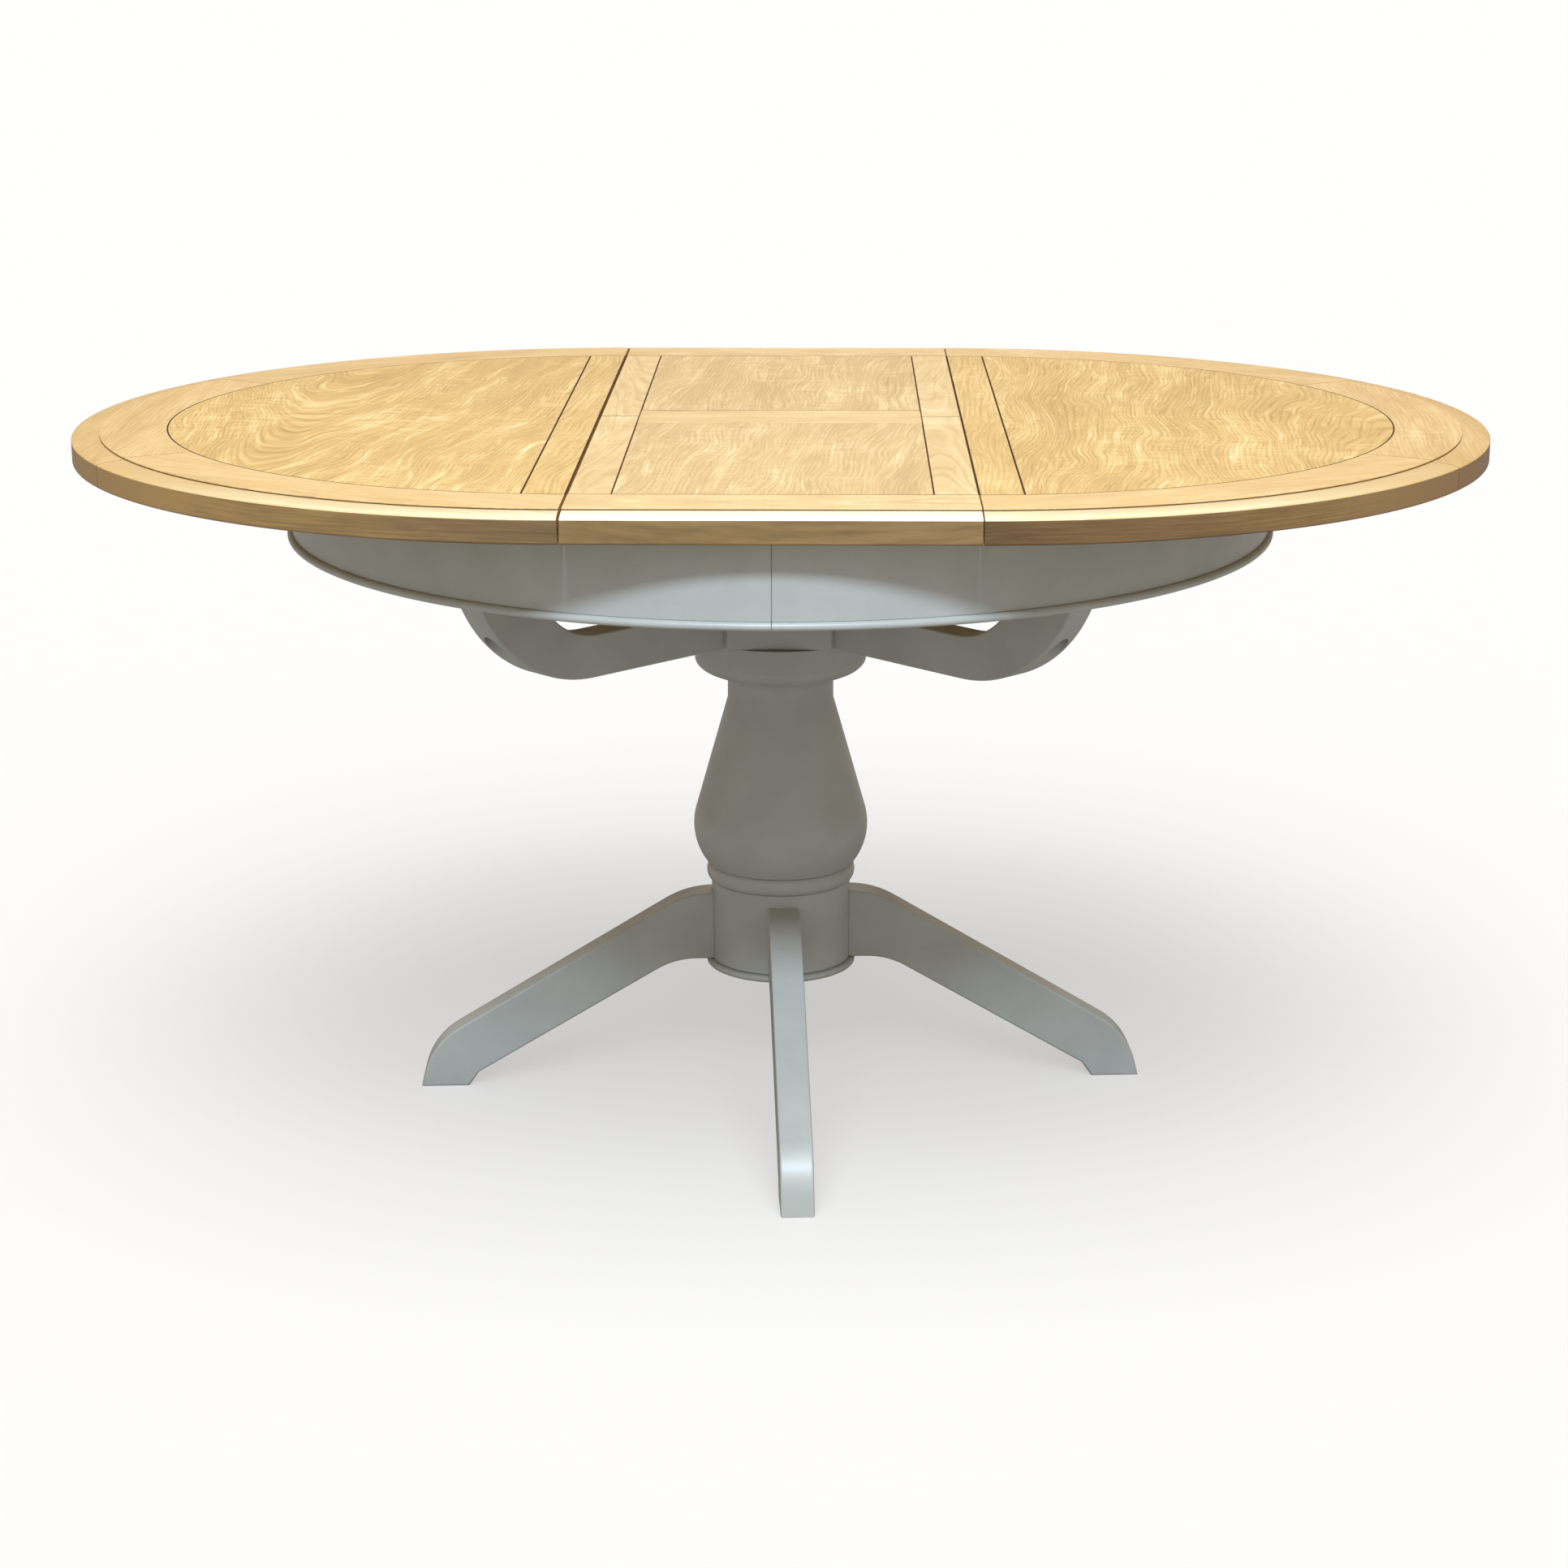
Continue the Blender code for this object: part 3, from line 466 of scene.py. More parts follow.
# %% Boards
GROOVE_EASE = 0.0008        # eased edge of each board
STAIN_DEPTH = 0.0020        # how far down the stain runs
LEFT_GAP = 0.0007           # how much wider the left joint stands, on each side of it
GAP_DEPTH = 0.010           # below this it is closed
NEAR_JOINT = 0.0015


def pulled_apart(rings):
    """The rings, with those of their points that lie at the top of the left joint moved off it."""
    middle = -(JOINT_X + HALF_LEAF) / 2

    def moved(x, y, z):
        if abs(x - middle) < NEAR_JOINT and z > TOP - GAP_DEPTH:
            x += copysign(LEFT_GAP, x - middle)
        return (x, y, z)

    return [[moved(*point) for point in ring] for ring in rings]


def board(name, outline, body, wood):
    """A flat board of the top over its plan outline. It stands for the CAD node of its name."""
    profile = [
        (GROOVE_EASE, BOARD_BOTTOM), (0, BOARD_BOTTOM + GROOVE_EASE), (0, TOP - STAIN_DEPTH),
        *[(inset, TOP - GROOVE_EASE + rise) for inset, rise in rounding(GROOVE_EASE)],
    ]
    rings = [[(x, y, z) for x, y in drawn_in(outline, inset)] for inset, z in profile]
    item = skin(
        f"{name}_wood", pulled_apart(rings), lambda i, j: int(profile[i][1] >= TOP - STAIN_DEPTH)
    )
    settle(item, body, [wood, groove_stain], name)


def rectangle(node):
    """The plan of a rectangular CAD board."""
    a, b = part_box(node)
    return [(a.x, a.y), (b.x, a.y), (b.x, b.y), (a.x, b.y)]


def body_of(node):
    return frame["nodes"][node]["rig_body"]


print("a groove is", round((2 * GROOVE_EASE + SEAM) * 1000, 2), "mm wide")

# %% [markdown]
# ## Field panels and inner stiles
# Each half top has a half-moon panel and, along the joint, a straight stile. Both have their grain
# from front to back, in line with the joint. The panels show the broadest arches of the whole
# table, so the heart of their log lies close under the face and inside the panel. The left one
# is cut nearer to it than the right one, and opens into wider arches.

# %% Half tops
PANEL_STEPS = 96
SIDES = (("left", -1), ("right", 1))
PLACES = (("front", -1), ("back", 1))
PANEL_HEARTS = {"left": (0.52, 0.050, 0.12, 0.11), "right": (-0.66, 0.075, -0.10, 0.63)}
STILE_HEARTS = {"left": (0.30, 0.06, 0.05, 0.30), "right": (-0.33, 0.07, -0.04, 0.80)}

for side, sign in SIDES:
    inner = (low if sign > 0 else high)(f"{side}_field_panel").x - sign * JOINT_X
    reach = RIM_INNER - SEAM
    spread = acos(abs(inner) / reach)
    outline = [
        (sign * (JOINT_X + x), y) for x, y in arc((0, 0), reach, -spread, spread, PANEL_STEPS)
    ]
    panel_oak = oak(f"oak, {side} panel", ALONG_Y, PANEL_HEARTS[side], HALF_TONES, 1.0, 1.0)
    board(f"{side}_field_panel", outline, f"{side}_top", panel_oak)

    lean = asin(STILE_WIDTH / reach)
    ends = arc((0, 0), reach, pi / 2 - lean, pi / 2, 6)
    outline = [(sign * (JOINT_X + x), y) for x, y in ends + [(x, -y) for x, y in reversed(ends)]]
    stile_oak = oak(f"oak, {side} stile", ALONG_Y, STILE_HEARTS[side], HALF_TONES, 0.8, 0.5)
    board(f"{side}_inner_stile", outline, f"{side}_top", stile_oak)
    print(side, "panel reaches", round(reach, 4), "from its joint")

# %% [markdown]
# ## The rim and its moulding
# The rim of each half is three pieces, each cut from a straight board, so its grain runs along
# its chord and the butt joints show as faint lines. Its edge is a thumbnail moulding: a sharp step
# down from the flat, then a low curve that falls faster and faster into the square edge. The
# section is drawn once, in steps out from the centre of the curve, and the straight end rails of
# the leaf use the same one, so that the moulding runs on across the joints.

# %% The moulded section
MOULDING_WIDTH = 0.030
MOULDING_STEP = 0.0022      # its sharp step down from the flat
MOULDING_DROP = 0.0062      # its whole drop, out to the square edge
NOSE_STEPS = 14
CRISP = 0.0003              # rounding of the crisp edge above the step
STEP_STAIN = 0.0010         # the stain in the step begins this far down
LOWER_ROUND = 0.0025
OAK_FACE, OAK_EDGE, STAIN, NOSE = range(4)


def edge_section(inner):
    """Points (r, z) of the section, and for each the finish of the face that follows it."""
    flat_end = RADIUS - MOULDING_WIDTH
    fall = MOULDING_DROP - MOULDING_STEP
    nose = [
        (flat_end + MOULDING_WIDTH * sin(a), TOP - MOULDING_DROP + fall * cos(a))
        for a in [i * pi / 2 / NOSE_STEPS for i in range(NOSE_STEPS + 1)]
    ]
    under = arc((RADIUS - LOWER_ROUND, EDGE_BOTTOM + LOWER_ROUND), LOWER_ROUND, 0, -pi / 2, 4)
    ease = [(inner + inset, TOP - GROOVE_EASE + rise) for inset, rise in rounding(GROOVE_EASE)]
    runs = [
        ([(inner, EDGE_BOTTOM)], OAK_FACE),
        ([(inner, TOP - STAIN_DEPTH), *ease[:-1]], STAIN),
        ([ease[-1], (flat_end - CRISP, TOP), (flat_end, TOP - CRISP)], OAK_FACE),
        ([(flat_end, TOP - STEP_STAIN)], STAIN),
        (nose[:-1], NOSE),
        ([nose[-1], *under[:-1]], OAK_EDGE),
        ([under[-1]], OAK_FACE),
    ]
    points = [point for run, _ in runs for point in run]
    finishes = [finish for run, finish in runs for _ in run]
    return points, finishes


section, section_finish = edge_section(RIM_INNER)
print("moulded section:", len(section), "points")

# %% [markdown]
# ## Carrying the section round
# The rings of a rim piece stand at small steps of angle. The first and last are drawn in a little,
# which eases the butt joint, so that a faint line shows there as on the real table. One function
# works out such stations for the rim and, further down, for the apron, and another turns them into
# rings round the centre of a half circle.

# %% Stations and rings round a centre
def stations(start, end, steps, ease, radius):
    """(angle, inset) pairs from start to end, drawn in at both ends over the ease's own length."""
    turn = (end - start) / steps
    return [
        (start, ease), (start + ease / radius, 0),
        *[(start + i * turn, 0) for i in range(1, steps)],
        (end - ease / radius, 0), (end, ease),
    ]


def carried_round(outline, centre_x, path):
    """Rings of an outline in (r, z) at each station of the path."""
    rings = []
    for angle, inset in path:
        ring = drawn_in(outline, inset) if inset else outline
        rings.append([(centre_x + r * cos(angle), r * sin(angle), z) for r, z in ring])
    return rings


print("stations of a quarter turn:", [round(a, 2) for a, _ in stations(0, pi / 2, 4, 0.01, 1.0)])

# %% [markdown]
# ## The rim pieces
# The moulding is palest beside the joints and grows yellower round the ends: a painted highlight
# where the light catches it. The square edge does the reverse: it is darkest at the middle of the
# table, painted shade, and palest at the ends, painted light. Both follow the grain, so they are a
# fade in the oak itself.

# %% Rim
RIM_STEPS = 40              # steps in one piece of the rim
END_EASE = 0.0004
RIM_PIECES = 3
PIECE_ANGLE = pi / RIM_PIECES
EDGE_HEART_DEPTH = 0.30     # far below, so that the grain runs along the edge
EDGE_SEAM = SEAM / 2 / RADIUS

for side, sign in SIDES:
    order = ("front", "end", "back") if sign > 0 else ("back", "end", "front")
    for index, place in enumerate(order):
        start = (0 if sign > 0 else pi) - pi / 2 + index * PIECE_ANGLE
        chord = start + PIECE_ANGLE / 2 + pi / 2
        heart = (0.35 + 0.13 * index, 0.055 + 0.01 * index, 0.10 - 0.06 * index, 1.7 * index + sign)
        middle = -sin(chord) * sign * JOINT_X - RADIUS * (1 + cos(PIECE_ANGLE / 2)) / 2
        edge_heart = (middle, EDGE_HEART_DEPTH, 0.01, 1.3 * index + sign)
        outwards = {"front": sign, "end": 0, "back": -sign}[place]
        # the square edge's tones: painted shade on the front and back pieces, painted light on the ends
        dark, body, pale = EDGE_GRAIN_AND_PAINTED_SHADE_TONES[side]
        nose_tones, edge_light_and_shade_tones = RIM_NOSE_PAINTED_HIGHLIGHT_TONES, (dark, body, pale)
        if place == "end":
            nose_tones, edge_light_and_shade_tones = RIM_TONES, (body, pale, pale)
        oaks = [
            oak(f"oak, {side} rim {place}", chord, heart, RIM_TONES, 0.6, 0.5),
            oak(f"oak edge, {side} {place}", chord, edge_heart, edge_light_and_shade_tones, 0.25, 0, 0.5,
                outwards * EDGE_PAINTED_LIGHT_FADE),
            groove_stain,
            # painted highlight: the moulding's pale tones, palest beside the joints
            oak(f"oak moulding, {side} {place}", chord, heart, nose_tones, 0.4, 0.2, 0.30,
                -outwards * NOSE_PAINTED_HIGHLIGHT_FADE),
        ]
        first = start + (EDGE_SEAM if index > 0 else 0)
        last = start + PIECE_ANGLE - (EDGE_SEAM if index < RIM_PIECES - 1 else 0)
        path = stations(first, last, RIM_STEPS, END_EASE, RADIUS)
        rings = carried_round(section, sign * JOINT_X, path)
        item = skin(
            f"{side}_rim_{place}_wood", pulled_apart(rings),
            lambda i, j: STAIN if i in (0, len(rings) - 2) else section_finish[j],
        )
        settle(item, f"{side}_top", oaks, f"{side}_rim_{place}")
    print(side, "rim:", RIM_PIECES, "pieces of", round(PIECE_ANGLE * RADIUS, 3), "m")

# %% [markdown]
# ## The folding leaf
# The leaf is two framed halves that fold face to face about the line between them: each has a
# panel, two stiles that run on the line of the half tops' stiles, a rail along the fold and a
# moulded rail at its outer end. It is the same oak, but paler, with its heart further off, so its
# figure is quieter.

# %% Leaf
LEAF_HEARTS = {"front": (0.26, 0.06, 0.07, 2.35), "back": (-0.20, 0.08, -0.06, 4.10)}

for place, sign in PLACES:
    body = body_of(f"{place}_leaf_panel")
    panel_oak = oak(f"oak, {place} leaf", ALONG_Y, LEAF_HEARTS[place], LEAF_TONES, 0.8, 0.9)
    board(f"{place}_leaf_panel", rectangle(f"{place}_leaf_panel"), body, panel_oak)
    for side, x_sign in SIDES:
        node = f"{place}_leaf_{side}_stile"
        heart = (-x_sign * 0.16, 0.06, 0.04 * sign, 5.0 + x_sign)
        stile_oak = oak(f"oak, {place} leaf {side} stile", ALONG_Y, heart, RAIL_TONES, 0.6, 0.4)
        board(node, rectangle(node), body, stile_oak)

    heart = (-sign * RADIUS, EDGE_HEART_DEPTH, 0.01, 0.2)
    oaks = [
        oak(f"oak, {place} end rail", 0, (sign * 0.50, 0.05, 0.03, 0.7), RAIL_TONES, 0.6, 0.3),
        # the leaf's square edge: partly darker grain, partly painted shade
        oak(f"oak edge, {place} leaf", 0, heart, EDGE_GRAIN_AND_PAINTED_SHADE_TONES["leaf"], 0.25, 0, 0.5),
        groove_stain,
        # painted highlight: near-white tones for the sheen on the leaf's moulding
        oak(f"oak moulding, {place} leaf", 0, heart, LEAF_NOSE_PAINTED_HIGHLIGHT_TONES, 0.4, 0.2, 0.30),
    ]
    rings = [
        [(x, sign * r, z) for r, z in (drawn_in(section, inset) if inset else section)]
        for x, inset in (
            (-HALF_LEAF, END_EASE), (END_EASE - HALF_LEAF, 0),
            (HALF_LEAF - END_EASE, 0), (HALF_LEAF, END_EASE),
        )
    ]
    rail = f"{place}_leaf_end_rail"
    item = skin(f"{rail}_wood", pulled_apart(rings), lambda i, j: section_finish[j])
    settle(item, body, oaks, rail)
    print(place, "leaf half rides on", body)

# %% [markdown]
# ## Fold rails
# The two fold rails meet along the fold, and two brass barrel hinges are let into them. Their CAD
# shape has the bores for the barrels, so the nodes stay, and only take their wood.

# %% Fold rails and hinge barrels
def dress(node, material):
    """Gives a CAD node that stays its finish."""
    slots = frame["nodes"][node].data.materials
    slots.clear()
    slots.append(material)


for place, sign in PLACES:
    heart = (sign * 0.05, 0.07, 0.02, 1.1)
    dress(f"{place}_leaf_fold_rail", oak(f"oak, {place} fold rail", 0, heart, RAIL_TONES, 0.6, 0.3))
    for side, _ in SIDES:
        dress(f"{place}_leaf_hinge_{side}", brass)
print("fold rails and barrels done")

# %% [markdown]
# ## The round painted apron
# Under the top stands a fixed round frame, bent in two halves that meet at the front and the back,
# with a half-round bead planted round its lower edge. Each is a section carried round half a
# circle, drawn in at its ends so that the seam between the halves shows as a hair line.

# %% Apron and bead
APRON_STEPS = 96
SEAM_EASE = 0.0006
HALF_SEAM = SEAM / 2 / APRON_RADIUS
BEAD_TOP = high("right_apron_bead").z
BEAD_BOTTOM = low("right_apron_bead").z
BEAD_ROUND = (BEAD_TOP - BEAD_BOTTOM) / 2
BEAD_CENTRE = (high("right_apron_bead").x - BEAD_ROUND, BEAD_BOTTOM + BEAD_ROUND)
APRON_INNER = hypot(high("back_splice_block").x, high("back_splice_block").y) + 2 * SEAM

wall = [
    (APRON_INNER, APRON_BOTTOM), (APRON_RADIUS, APRON_BOTTOM),
    (APRON_RADIUS, APRON_TOP), (APRON_INNER, APRON_TOP),
]
bead = [
    (APRON_INNER, BEAD_BOTTOM), *arc(BEAD_CENTRE, BEAD_ROUND, -pi / 2, pi / 2, 10),
    (APRON_INNER, BEAD_TOP),
]
for side, sign in SIDES:
    heading = 0 if sign > 0 else pi
    path = stations(
        heading - pi / 2 + HALF_SEAM, heading + pi / 2 - HALF_SEAM, APRON_STEPS, SEAM_EASE, APRON_RADIUS
    )
    for name, outline, node in (("apron", wall, f"{side}_apron"), ("bead", bead, f"{side}_apron_bead")):
        item = skin(f"{side}_{name}_painted", carried_round(outline, 0, path))
        settle(item, "frame", [satin_paint], node)
print("apron", round(APRON_RADIUS - APRON_INNER, 4), "m thick, bead", round(2 * BEAD_ROUND, 4), "m high")

# %% [markdown]
# ## The turned pedestal
# The column is turned in five pieces: a disc under the hub, a waisted neck that swells into a
# belly, a half-round ring, a straight collar that takes the legs, and a thin ring at its foot.
# Each is a circle carried down its profile. A spin of the profile would do as well, but rings let
# the same helper close the ends.

# %% Turned pieces
TURN_POINTS = 112


def circle(radius, z, points=TURN_POINTS):
    """A level ring of points round the table's axis."""
    return [(x, y, z) for x, y in arc((0, 0), radius, 0, 2 * pi, points)[:-1]]


def turned(node, profile):
    """A turned piece over a profile in (r, z) from the top down."""
    item = skin(f"{node}_painted", [circle(r, z) for r, z in profile])
    settle(item, "frame", [satin_paint], node)


def size_of(node):
    """Radius, bottom and top of a turned CAD node."""
    return high(node).x, low(node).z, high(node).z


def half_round_edge(reach, height, radius, bottom, steps):
    """The outer half of a ring's section, from the top down, rounded over its whole height."""
    return [
        (radius - reach + reach * cos(a), bottom + height / 2 * (1 + sin(a)))
        for a in [pi / 2 - i * pi / steps for i in range(steps + 1)]
    ]


print("the disc's radius, bottom and top:", [round(v, 4) for v in size_of("pedestal_top_disc")])

# %% Disc and column
SMALL_EASE = 0.0010
DISC_EDGE = 0.0266          # straight edge of the disc, above its ovolo
OVOLO_STEPS = 12
NECK_WAIST = 0.0572
NECK_RADIUS = 0.0600
NECK_HEIGHT = 0.028
FLARE_HEIGHT = 0.009        # the waist opens to the neck over this height
FLARE_START = 0.0004        # and by this much over its first third
BELLY_ARC = 0.070
BELLY_RISE = 0.0445

radius, bottom, top = size_of("pedestal_top_disc")
edge = [(radius - x, top - SMALL_EASE + z) for x, z in reversed(rounding(SMALL_EASE, 2))]
drop = top - DISC_EDGE
ovolo = [
    (NECK_RADIUS + (radius - NECK_RADIUS) * cos(a), bottom + (drop - bottom) * (1 - sin(a)))
    for a in [i * pi / 2 / OVOLO_STEPS for i in range(OVOLO_STEPS + 1)]
]
turned("pedestal_top_disc", [*edge, *ovolo])

radius, bottom, top = size_of("pedestal_column")
neck_foot = (NECK_RADIUS, top - NECK_HEIGHT)
neck = [
    (NECK_WAIST, top), (NECK_WAIST + FLARE_START, top - FLARE_HEIGHT / 3),
    (NECK_RADIUS, top - FLARE_HEIGHT), neck_foot,
]
centre = (radius - BELLY_ARC, bottom + BELLY_RISE)
away = (neck_foot[0] - centre[0], neck_foot[1] - centre[1])
tangent = atan2(away[1], away[0]) - acos(BELLY_ARC / hypot(*away))
belly = arc(centre, BELLY_ARC, tangent, -asin(BELLY_RISE / BELLY_ARC), 36)
turned("pedestal_column", [*neck, *belly])
print("the column's belly is", round(2 * radius, 4), "m across")

# %% Bead ring, collar and base ring
BEAD_RING_ROUND = 0.006

radius, bottom, top = size_of("pedestal_bead_ring")
turned("pedestal_bead_ring", half_round_edge(BEAD_RING_ROUND, top - bottom, radius, bottom, 14))

COLLAR_RADIUS, bottom, top = size_of("leg_collar")
turned("leg_collar", [
    (COLLAR_RADIUS - SMALL_EASE, top), (COLLAR_RADIUS, top - SMALL_EASE),
    (COLLAR_RADIUS, bottom + SMALL_EASE), (COLLAR_RADIUS - SMALL_EASE, bottom),
])

radius, bottom, top = size_of("base_ring")
turned("base_ring", half_round_edge((top - bottom) / 2, top - bottom, radius, bottom, 10))
print("pedestal turned in five pieces of", TURN_POINTS, "points round")

# %% [markdown]
# ## Legs and arms
# Legs and arms are thick boards sawn to a curve and then rounded over along both edges. Their
# outline in the upright plane is drawn with real arcs and carried through the thickness, drawn in
# near both faces. A bevel modifier could round the edges too, but rings give the same number of
# even steps everywhere.

# %% Upright boards
EASED = 0.0024              # rounding along both edges


def upright(name, outline, thickness, heading):
    """An upright board in the plane at this heading, outlined in (s, z)."""
    near = [
        (inset, EASED - rise - thickness / 2) for inset, rise in reversed(rounding(EASED, 4))
    ]
    steps = near + [(inset, -depth) for inset, depth in reversed(near)]
    rings = []
    for inset, side in steps:
        ring = drawn_in(outline, inset) if inset else outline
        rings.append([
            (s * cos(heading) - side * sin(heading), s * sin(heading) + side * cos(heading), z)
            for s, z in ring
        ])
    return skin(name, rings)


print("legs and arms are rounded over by", EASED, "m")

# %% [markdown]
# ### The four legs
# Each leg leaves the collar level, falls in one long straight slope, and ends in a rounded toe on
# a short flat foot. They stand turned by a few degrees against the top.

# %% Legs
LEG_TURN = radians(3.3)
LEG_THICKNESS = 0.0358
LEG_SLOPE = radians(31.0)
LEG_LET_IN = 0.0030         # how far a leg is let into the collar
LEG_TOP_START = 0.078       # where the upper arc leaves the level
LEG_TOP_ARC = 0.107
LEG_FOOT_REACH = 0.4195
LEG_FOOT_LENGTH = 0.055
LEG_UNDER_START = 0.099     # where the lower arc leaves the level
LEG_UNDER_ARC = 0.088
LEG_END_SLOPE = radians(75.5)
LEG_TOE_ARC = 0.085
LEG_HEEL_SLOPE = radians(55.0)
LEG_HEEL_RISE = 0.0165


def leg_outline():
    """Leg in (s, z), s being the distance from the pedestal's axis."""
    root = COLLAR_RADIUS - LEG_LET_IN
    top = high("front_leg").z
    under = high("base_ring").z + 2 * SEAM
    top_arc = arc((LEG_TOP_START, top - LEG_TOP_ARC), LEG_TOP_ARC, pi / 2, pi / 2 - LEG_SLOPE, 14)
    start = top_arc[-1]
    run = start[1] - (LEG_FOOT_REACH - start[0]) * tan(LEG_SLOPE)
    corner_z = run / (1 - tan(LEG_SLOPE) / tan(LEG_END_SLOPE))
    corner = (LEG_FOOT_REACH - corner_z / tan(LEG_END_SLOPE), corner_z)
    back = LEG_TOE_ARC * tan((LEG_END_SLOPE - LEG_SLOPE) / 2)
    centre = (corner[0] - back * cos(LEG_SLOPE) - LEG_TOE_ARC * sin(LEG_SLOPE),
              corner[1] + back * sin(LEG_SLOPE) - LEG_TOE_ARC * cos(LEG_SLOPE))
    toe = arc(centre, LEG_TOE_ARC, pi / 2 - LEG_SLOPE, pi / 2 - LEG_END_SLOPE, 16)
    heel = LEG_FOOT_REACH - LEG_FOOT_LENGTH
    heel_top = (heel - LEG_HEEL_RISE / tan(LEG_HEEL_SLOPE), LEG_HEEL_RISE)
    under_arc = arc((LEG_UNDER_START, under - LEG_UNDER_ARC), LEG_UNDER_ARC,
                    pi / 2 - LEG_SLOPE, pi / 2, 14)
    return [
        (root, top), *top_arc[1:], *toe, (LEG_FOOT_REACH, 0), (heel, 0), heel_top,
        *under_arc, (root, under),
    ]


for index, name in enumerate(("right", "back", "left", "front")):
    heading = LEG_TURN + index * pi / 2
    item = upright(f"{name}_leg_painted", leg_outline(), LEG_THICKNESS, heading)
    settle(item, "frame", [satin_paint], f"{name}_leg")
print("legs reach", LEG_FOOT_REACH, "m from the axis")

# %% [markdown]
# ### Hub and arms
# Four arms spring from a square hub with its corners cut off, and sweep up to the frame like the
# arms of a boat's cradle. Near its end each arm has a deep counterbore, in which the head of a
# bolt pulls it up against the frame. The counterbore is cut with a boolean, whose result is kept
# as the mesh, so that no cutter is left in the scene.

# %% Hub and arms
ARM_THICKNESS = 0.036
ARM_LOWER_ARC = 0.168
ARM_UPPER_ARC = 0.085
ARM_ARCS_APART = 0.007
ARM_BOLT_INSET = 0.045
COUNTERBORE_RADIUS = 0.012
COUNTERBORE_TOP = 0.0775
COUNTERBORE_POINTS = 32
ARM_LET_IN = 0.0010         # how far an arm is let into the hub
HUB_CUT = 0.0575            # half of a main face; the cut corners begin there
HUB_EASE = 0.0015


def drill(item, radius, place, bottom, top):
    """Cuts an upright round hole into a piece and keeps the result as its mesh."""
    rim = arc(place, radius, 0, 2 * pi, COUNTERBORE_POINTS)[:-1]
    drill_bit = skin("drill", [[(x, y, z) for x, y in rim] for z in (bottom, top)])
    cut = item.modifiers.new("hole", "BOOLEAN")
    cut.object = drill_bit
    cut.solver = "EXACT"
    ready = item.evaluated_get(bpy.context.evaluated_depsgraph_get())
    mesh = bpy.data.meshes.new_from_object(ready)
    item.modifiers.clear()
    item.data = mesh
    bpy.data.objects.remove(drill_bit)


def arm_outline(reach):
    """Arm in (s, z): level from the hub, then swept up to the underside of the frame."""
    arm_top = high("front_left_arm").z
    root = (high("hub_block").x + HUB_CUT) * cos(pi / 4) - ARM_LET_IN
    sweep = asin((HUB_BOTTOM + ARM_LOWER_ARC - arm_top) / ARM_LOWER_ARC)
    inner_end = asin((HUB_TOP + ARM_UPPER_ARC - arm_top) / ARM_UPPER_ARC)
    start = reach - ARM_LOWER_ARC * cos(sweep)
    under = arc((start, HUB_BOTTOM + ARM_LOWER_ARC), ARM_LOWER_ARC, -pi / 2, -sweep, 28)
    above = arc((start - ARM_ARCS_APART, HUB_TOP + ARM_UPPER_ARC), ARM_UPPER_ARC,
                -pi / 2, -inner_end, 18)
    return [(root, HUB_BOTTOM), *under, *reversed(above), (root, HUB_TOP)]


hub_x = high("hub_block").x
hub_plan = [(hub_x, -HUB_CUT), (hub_x, HUB_CUT), (HUB_CUT, hub_x), (-HUB_CUT, hub_x)]
hub_plan += [(-x, -y) for x, y in hub_plan]
hub_profile = [(x, HUB_BOTTOM + HUB_EASE - y) for x, y in reversed(rounding(HUB_EASE))]
hub_profile += [(x, HUB_TOP - HUB_EASE + y) for x, y in rounding(HUB_EASE)]
hub = skin("hub_block_painted", [
    [(x, y, z) for x, y in drawn_in(hub_plan, inset)] for inset, z in hub_profile
])
settle(hub, "frame", [satin_paint], "hub_block")

ARM_REACH = high("back_right_arm").x * sqrt(2) - ARM_THICKNESS / 2
for index, name in enumerate(("back_right", "back_left", "front_left", "front_right")):
    heading = pi / 4 + index * pi / 2
    item = upright(f"{name}_arm_painted", arm_outline(ARM_REACH), ARM_THICKNESS, heading)
    bolt_s = ARM_REACH - ARM_BOLT_INSET
    place = (bolt_s * cos(heading), bolt_s * sin(heading))
    start = HUB_BOTTOM - COUNTERBORE_RADIUS     # clear of the arm, below it
    drill(item, COUNTERBORE_RADIUS, place, start, HUB_BOTTOM + COUNTERBORE_TOP)
    settle(item, "frame", [satin_paint], f"{name}_arm")
print("arms reach", round(ARM_REACH, 4), "m from the axis")

# %% [markdown]
# ## Slides, boards, bolts and buttons
# These keep their CAD shape. They are seen from below and when the table opens, and take the
# waxed beech and the metals.

# %% CAD nodes that stay
for side, _ in SIDES:
    dress(f"{side}_cross_board", beech_y)
    for place, _ in PLACES:
        dress(f"{side}_runner_{place}", beech_x)
        dress(f"{side}_turn_button_{place}", zinc)
        dress(f"{place}_{side}_arm_bolt", zinc)
for place, _ in PLACES:
    dress(f"{place}_slide_rail", beech_x)
    dress(f"{place}_splice_block", beech_x)
print("kept CAD nodes:", sum(not o.hide_render for o in frame["nodes"].values()))

# %% [markdown]
# ## The floor
# The table stands on a pale sweep that glows a little by itself, as the lit acrylic floors of
# furniture studios do, so that its shadows stay soft. The floor is a very wide flat disc, so that
# its edge lies on the horizon. A shine would show the table upside down, so it has none.

# %% Floor
FLOOR_RADIUS = 300.0
FLOOR_POINTS = 64
FLOOR_LEVELS = (-0.02, -0.0002)     # its underside, and its face just under the feet

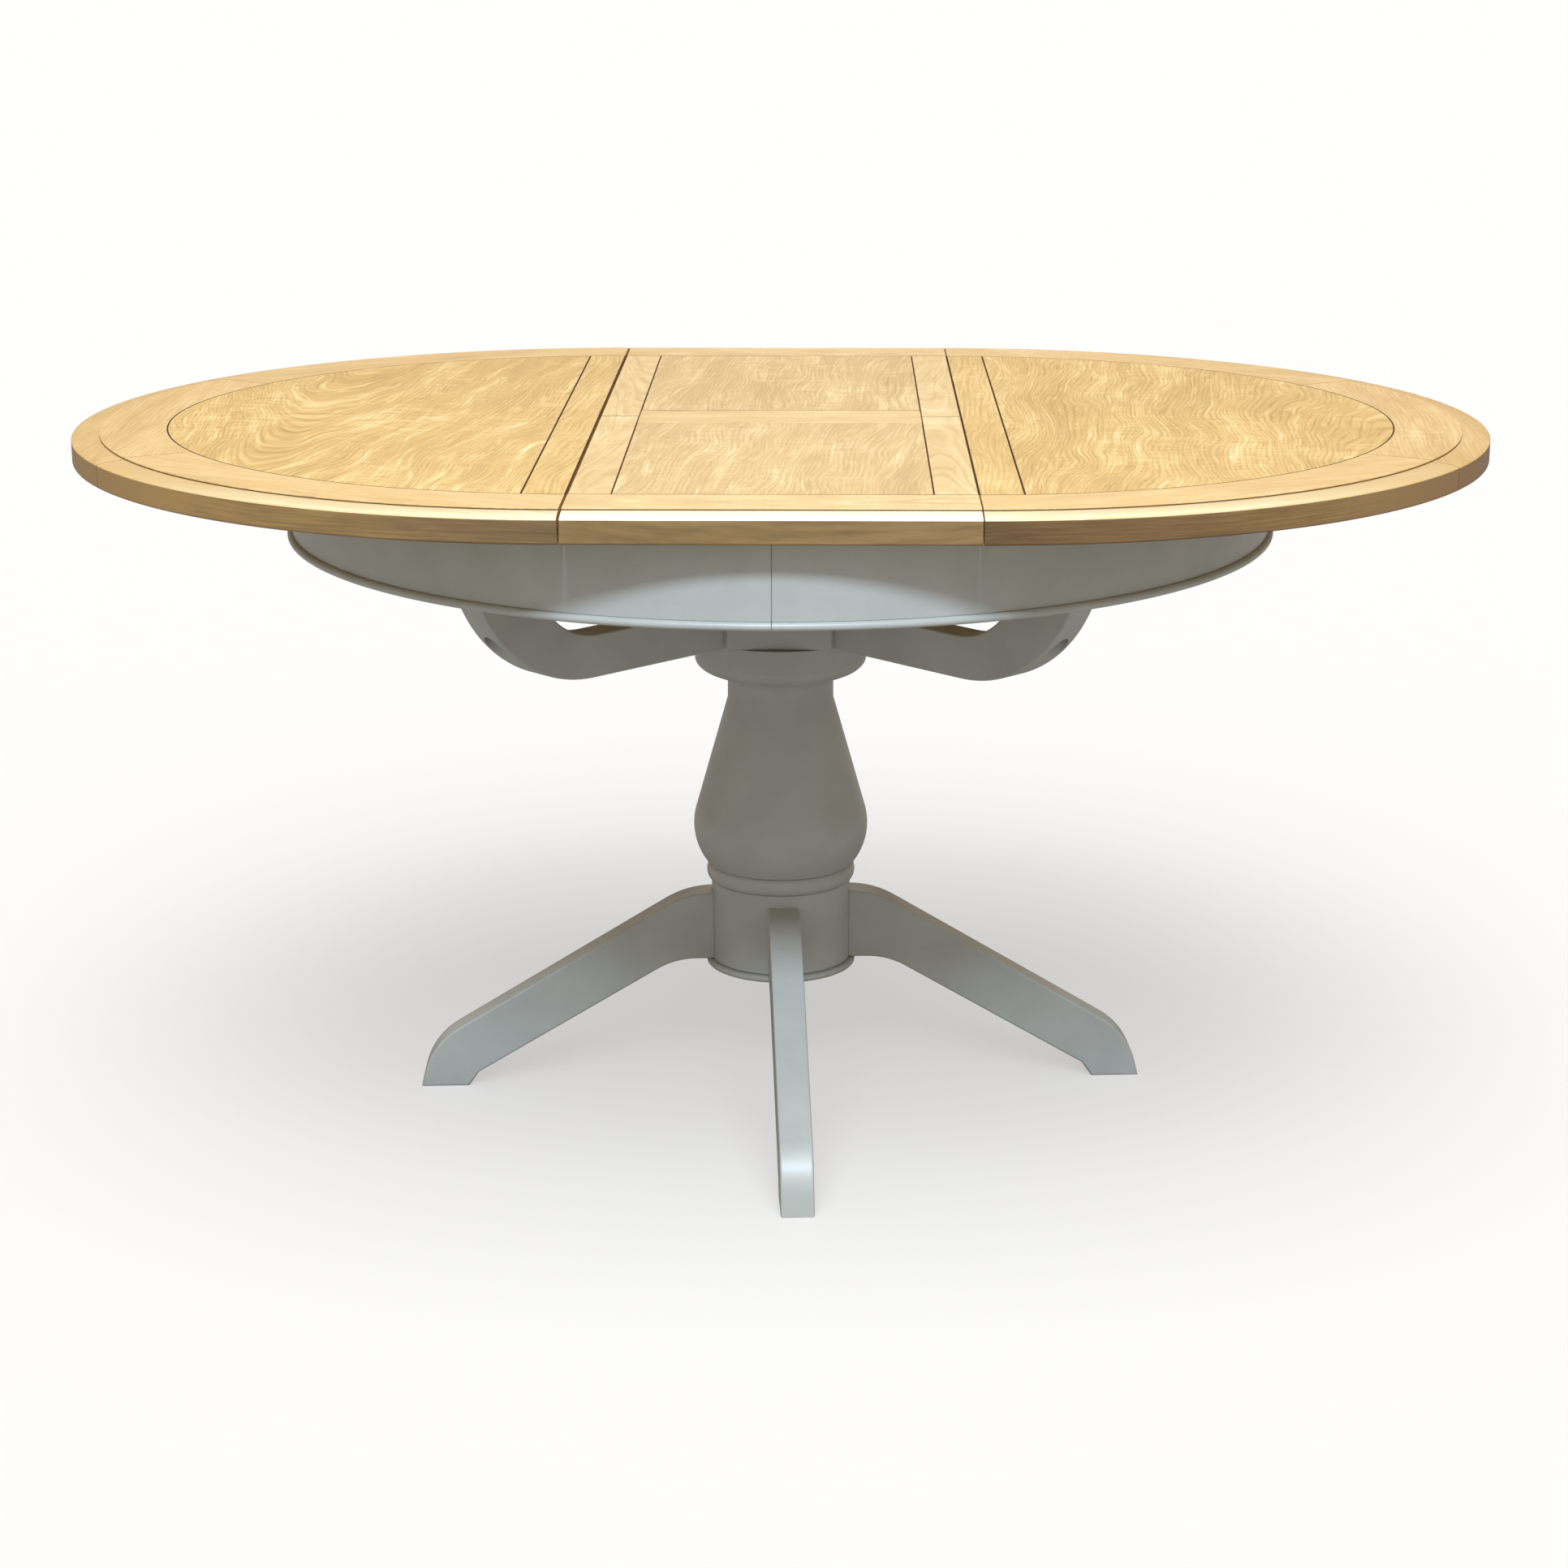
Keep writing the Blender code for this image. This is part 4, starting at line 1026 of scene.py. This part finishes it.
floor_acrylic, _, _ = new_material("white acrylic floor", {
    "Base Color": linear("#9c9ea1"), "Roughness": 0.85, "Specular IOR Level": 0.0,
    "Emission Color": linear("#ffffff"), "Emission Strength": 0.50,
})
floor = skin("floor", [circle(FLOOR_RADIUS, z, FLOOR_POINTS) for z in FLOOR_LEVELS])
floor.data.materials.append(floor_acrylic)
print("floor:", floor_acrylic.name, 2 * FLOOR_RADIUS, "m across")

# %% [markdown]
# ## The lights
# A broad light overhead gives the top its strength. The key light, a cool softbox, stands high in
# front: it throws the shadow of the top's edge across the apron and lights the front leg. A weak
# light from behind draws the top's far edge. A studio would flag its lights, so that each falls
# only where it is wanted. Light linking does that here: the key and the back light fall on the
# table alone, and the floor has a light of its own, which keeps it pale while its glow doesn't
# fill the shadows under the table.

# %% Lights
def sun(name, azimuth, elevation, strength, colour, softness):
    """A light at infinity. Azimuth 0 is in front of the table, 180 behind it."""
    lamp = bpy.data.lights.new(name, "SUN")
    lamp.energy = strength
    lamp.color = linear(colour)[:3]
    lamp.angle = radians(softness)
    item = bpy.data.objects.new(name, lamp)
    item.rotation_euler = (radians(90 - elevation), 0, radians(azimuth))
    bpy.context.scene.collection.objects.link(item)
    return item


def only_lights(light, name, items):
    """Keeps a light, or a glowing object, to the given items."""
    group = bpy.data.collections.new(name)
    for item in items:
        group.objects.link(item)
    light.light_linking.receiver_collection = group


softbox = bpy.data.lights.new("key light", "AREA")
softbox.shape = "DISK"
softbox.size = 0.75
softbox.energy = 218
softbox.color = linear("#d5e9ff")[:3]
key = bpy.data.objects.new("key light", softbox)
key.location = (-0.03, -3.30, 3.85)
KEY_AIM = Vector((0, -0.5, 0.6))
key.rotation_euler = (KEY_AIM - key.location).to_track_quat("-Z", "Y").to_euler()
bpy.context.scene.collection.objects.link(key)
sun("overhead light", 0, 80, 1.6, "#fffdf8", 46)
back_light = sun("back light", 180, 40, 0.5, "#ffffff", 34)
floor_light = sun("floor light", 0, 50, 2.05, "#ffffff", 44)

table = [item for item in bpy.data.objects if item.type == "MESH" and item != floor]
only_lights(key, "lit by the key light", table)
only_lights(back_light, "lit by the back light", table)
only_lights(floor_light, "lit by the floor light", [floor])
only_lights(floor, "lit by the floor's glow", [floor])

# %% [markdown]
# ## The room
# All round stands a pale room, near white in front and a warm beige behind, whose reflections the
# lacquer of the top picks up at a low angle. Past the object one sees plain white instead: the
# light path node tells what the camera sees directly from what lights and reflects.

# %% Room
world = bpy.data.worlds.new("pale room")
bpy.context.scene.world = world
world.use_nodes = True
tree = world.node_tree
ways = add_node(tree, "TexCoord", output="Generated")
depth_way = add_node(tree, "SeparateXYZ", {0: ways}, output="Y")
depth_way = add_node(tree, "Math", {"operation": "MULTIPLY_ADD", 0: depth_way, 1: 0.5, 2: 0.5})
stops = [(0.25, linear("#fbf7f2")), (0.75, linear("#c9b296"))]
walls = add_node(tree, "ValToRGB", {0: depth_way}, stops)
room = tree.nodes["Background"]
room.inputs["Strength"].default_value = 0.66
tree.links.new(walls, room.inputs["Color"])
backdrop = add_node(tree, "Background", {"Color": grey(1.0)})
seen = add_node(tree, "LightPath", output="Is Camera Ray")
surface = add_node(tree, "MixShader", {0: seen, 1: room.outputs[0], 2: backdrop})
tree.links.new(surface, tree.nodes["World Output"].inputs["Surface"])
print("world:", world.name)

# %% [markdown]
# ## Camera
# The camera stands in front, a little above table height and looking slightly down, with a short
# telephoto lens, as furniture is usually shown.

# %% Camera
camera_data = bpy.data.cameras.new("camera")
camera_data.sensor_width = 36.0
camera_data.lens = 73.72
camera = bpy.data.objects.new("camera", camera_data)
camera.location = (0.0565, -3.5440, 1.3515)
camera.rotation_euler = (radians(90 - 15.6916), radians(0.0461), radians(0.8382))
bpy.context.scene.collection.objects.link(camera)
bpy.context.scene.camera = camera
bpy.context.scene.view_settings.view_transform = "Standard"
print("camera at", [round(c, 3) for c in camera.location])
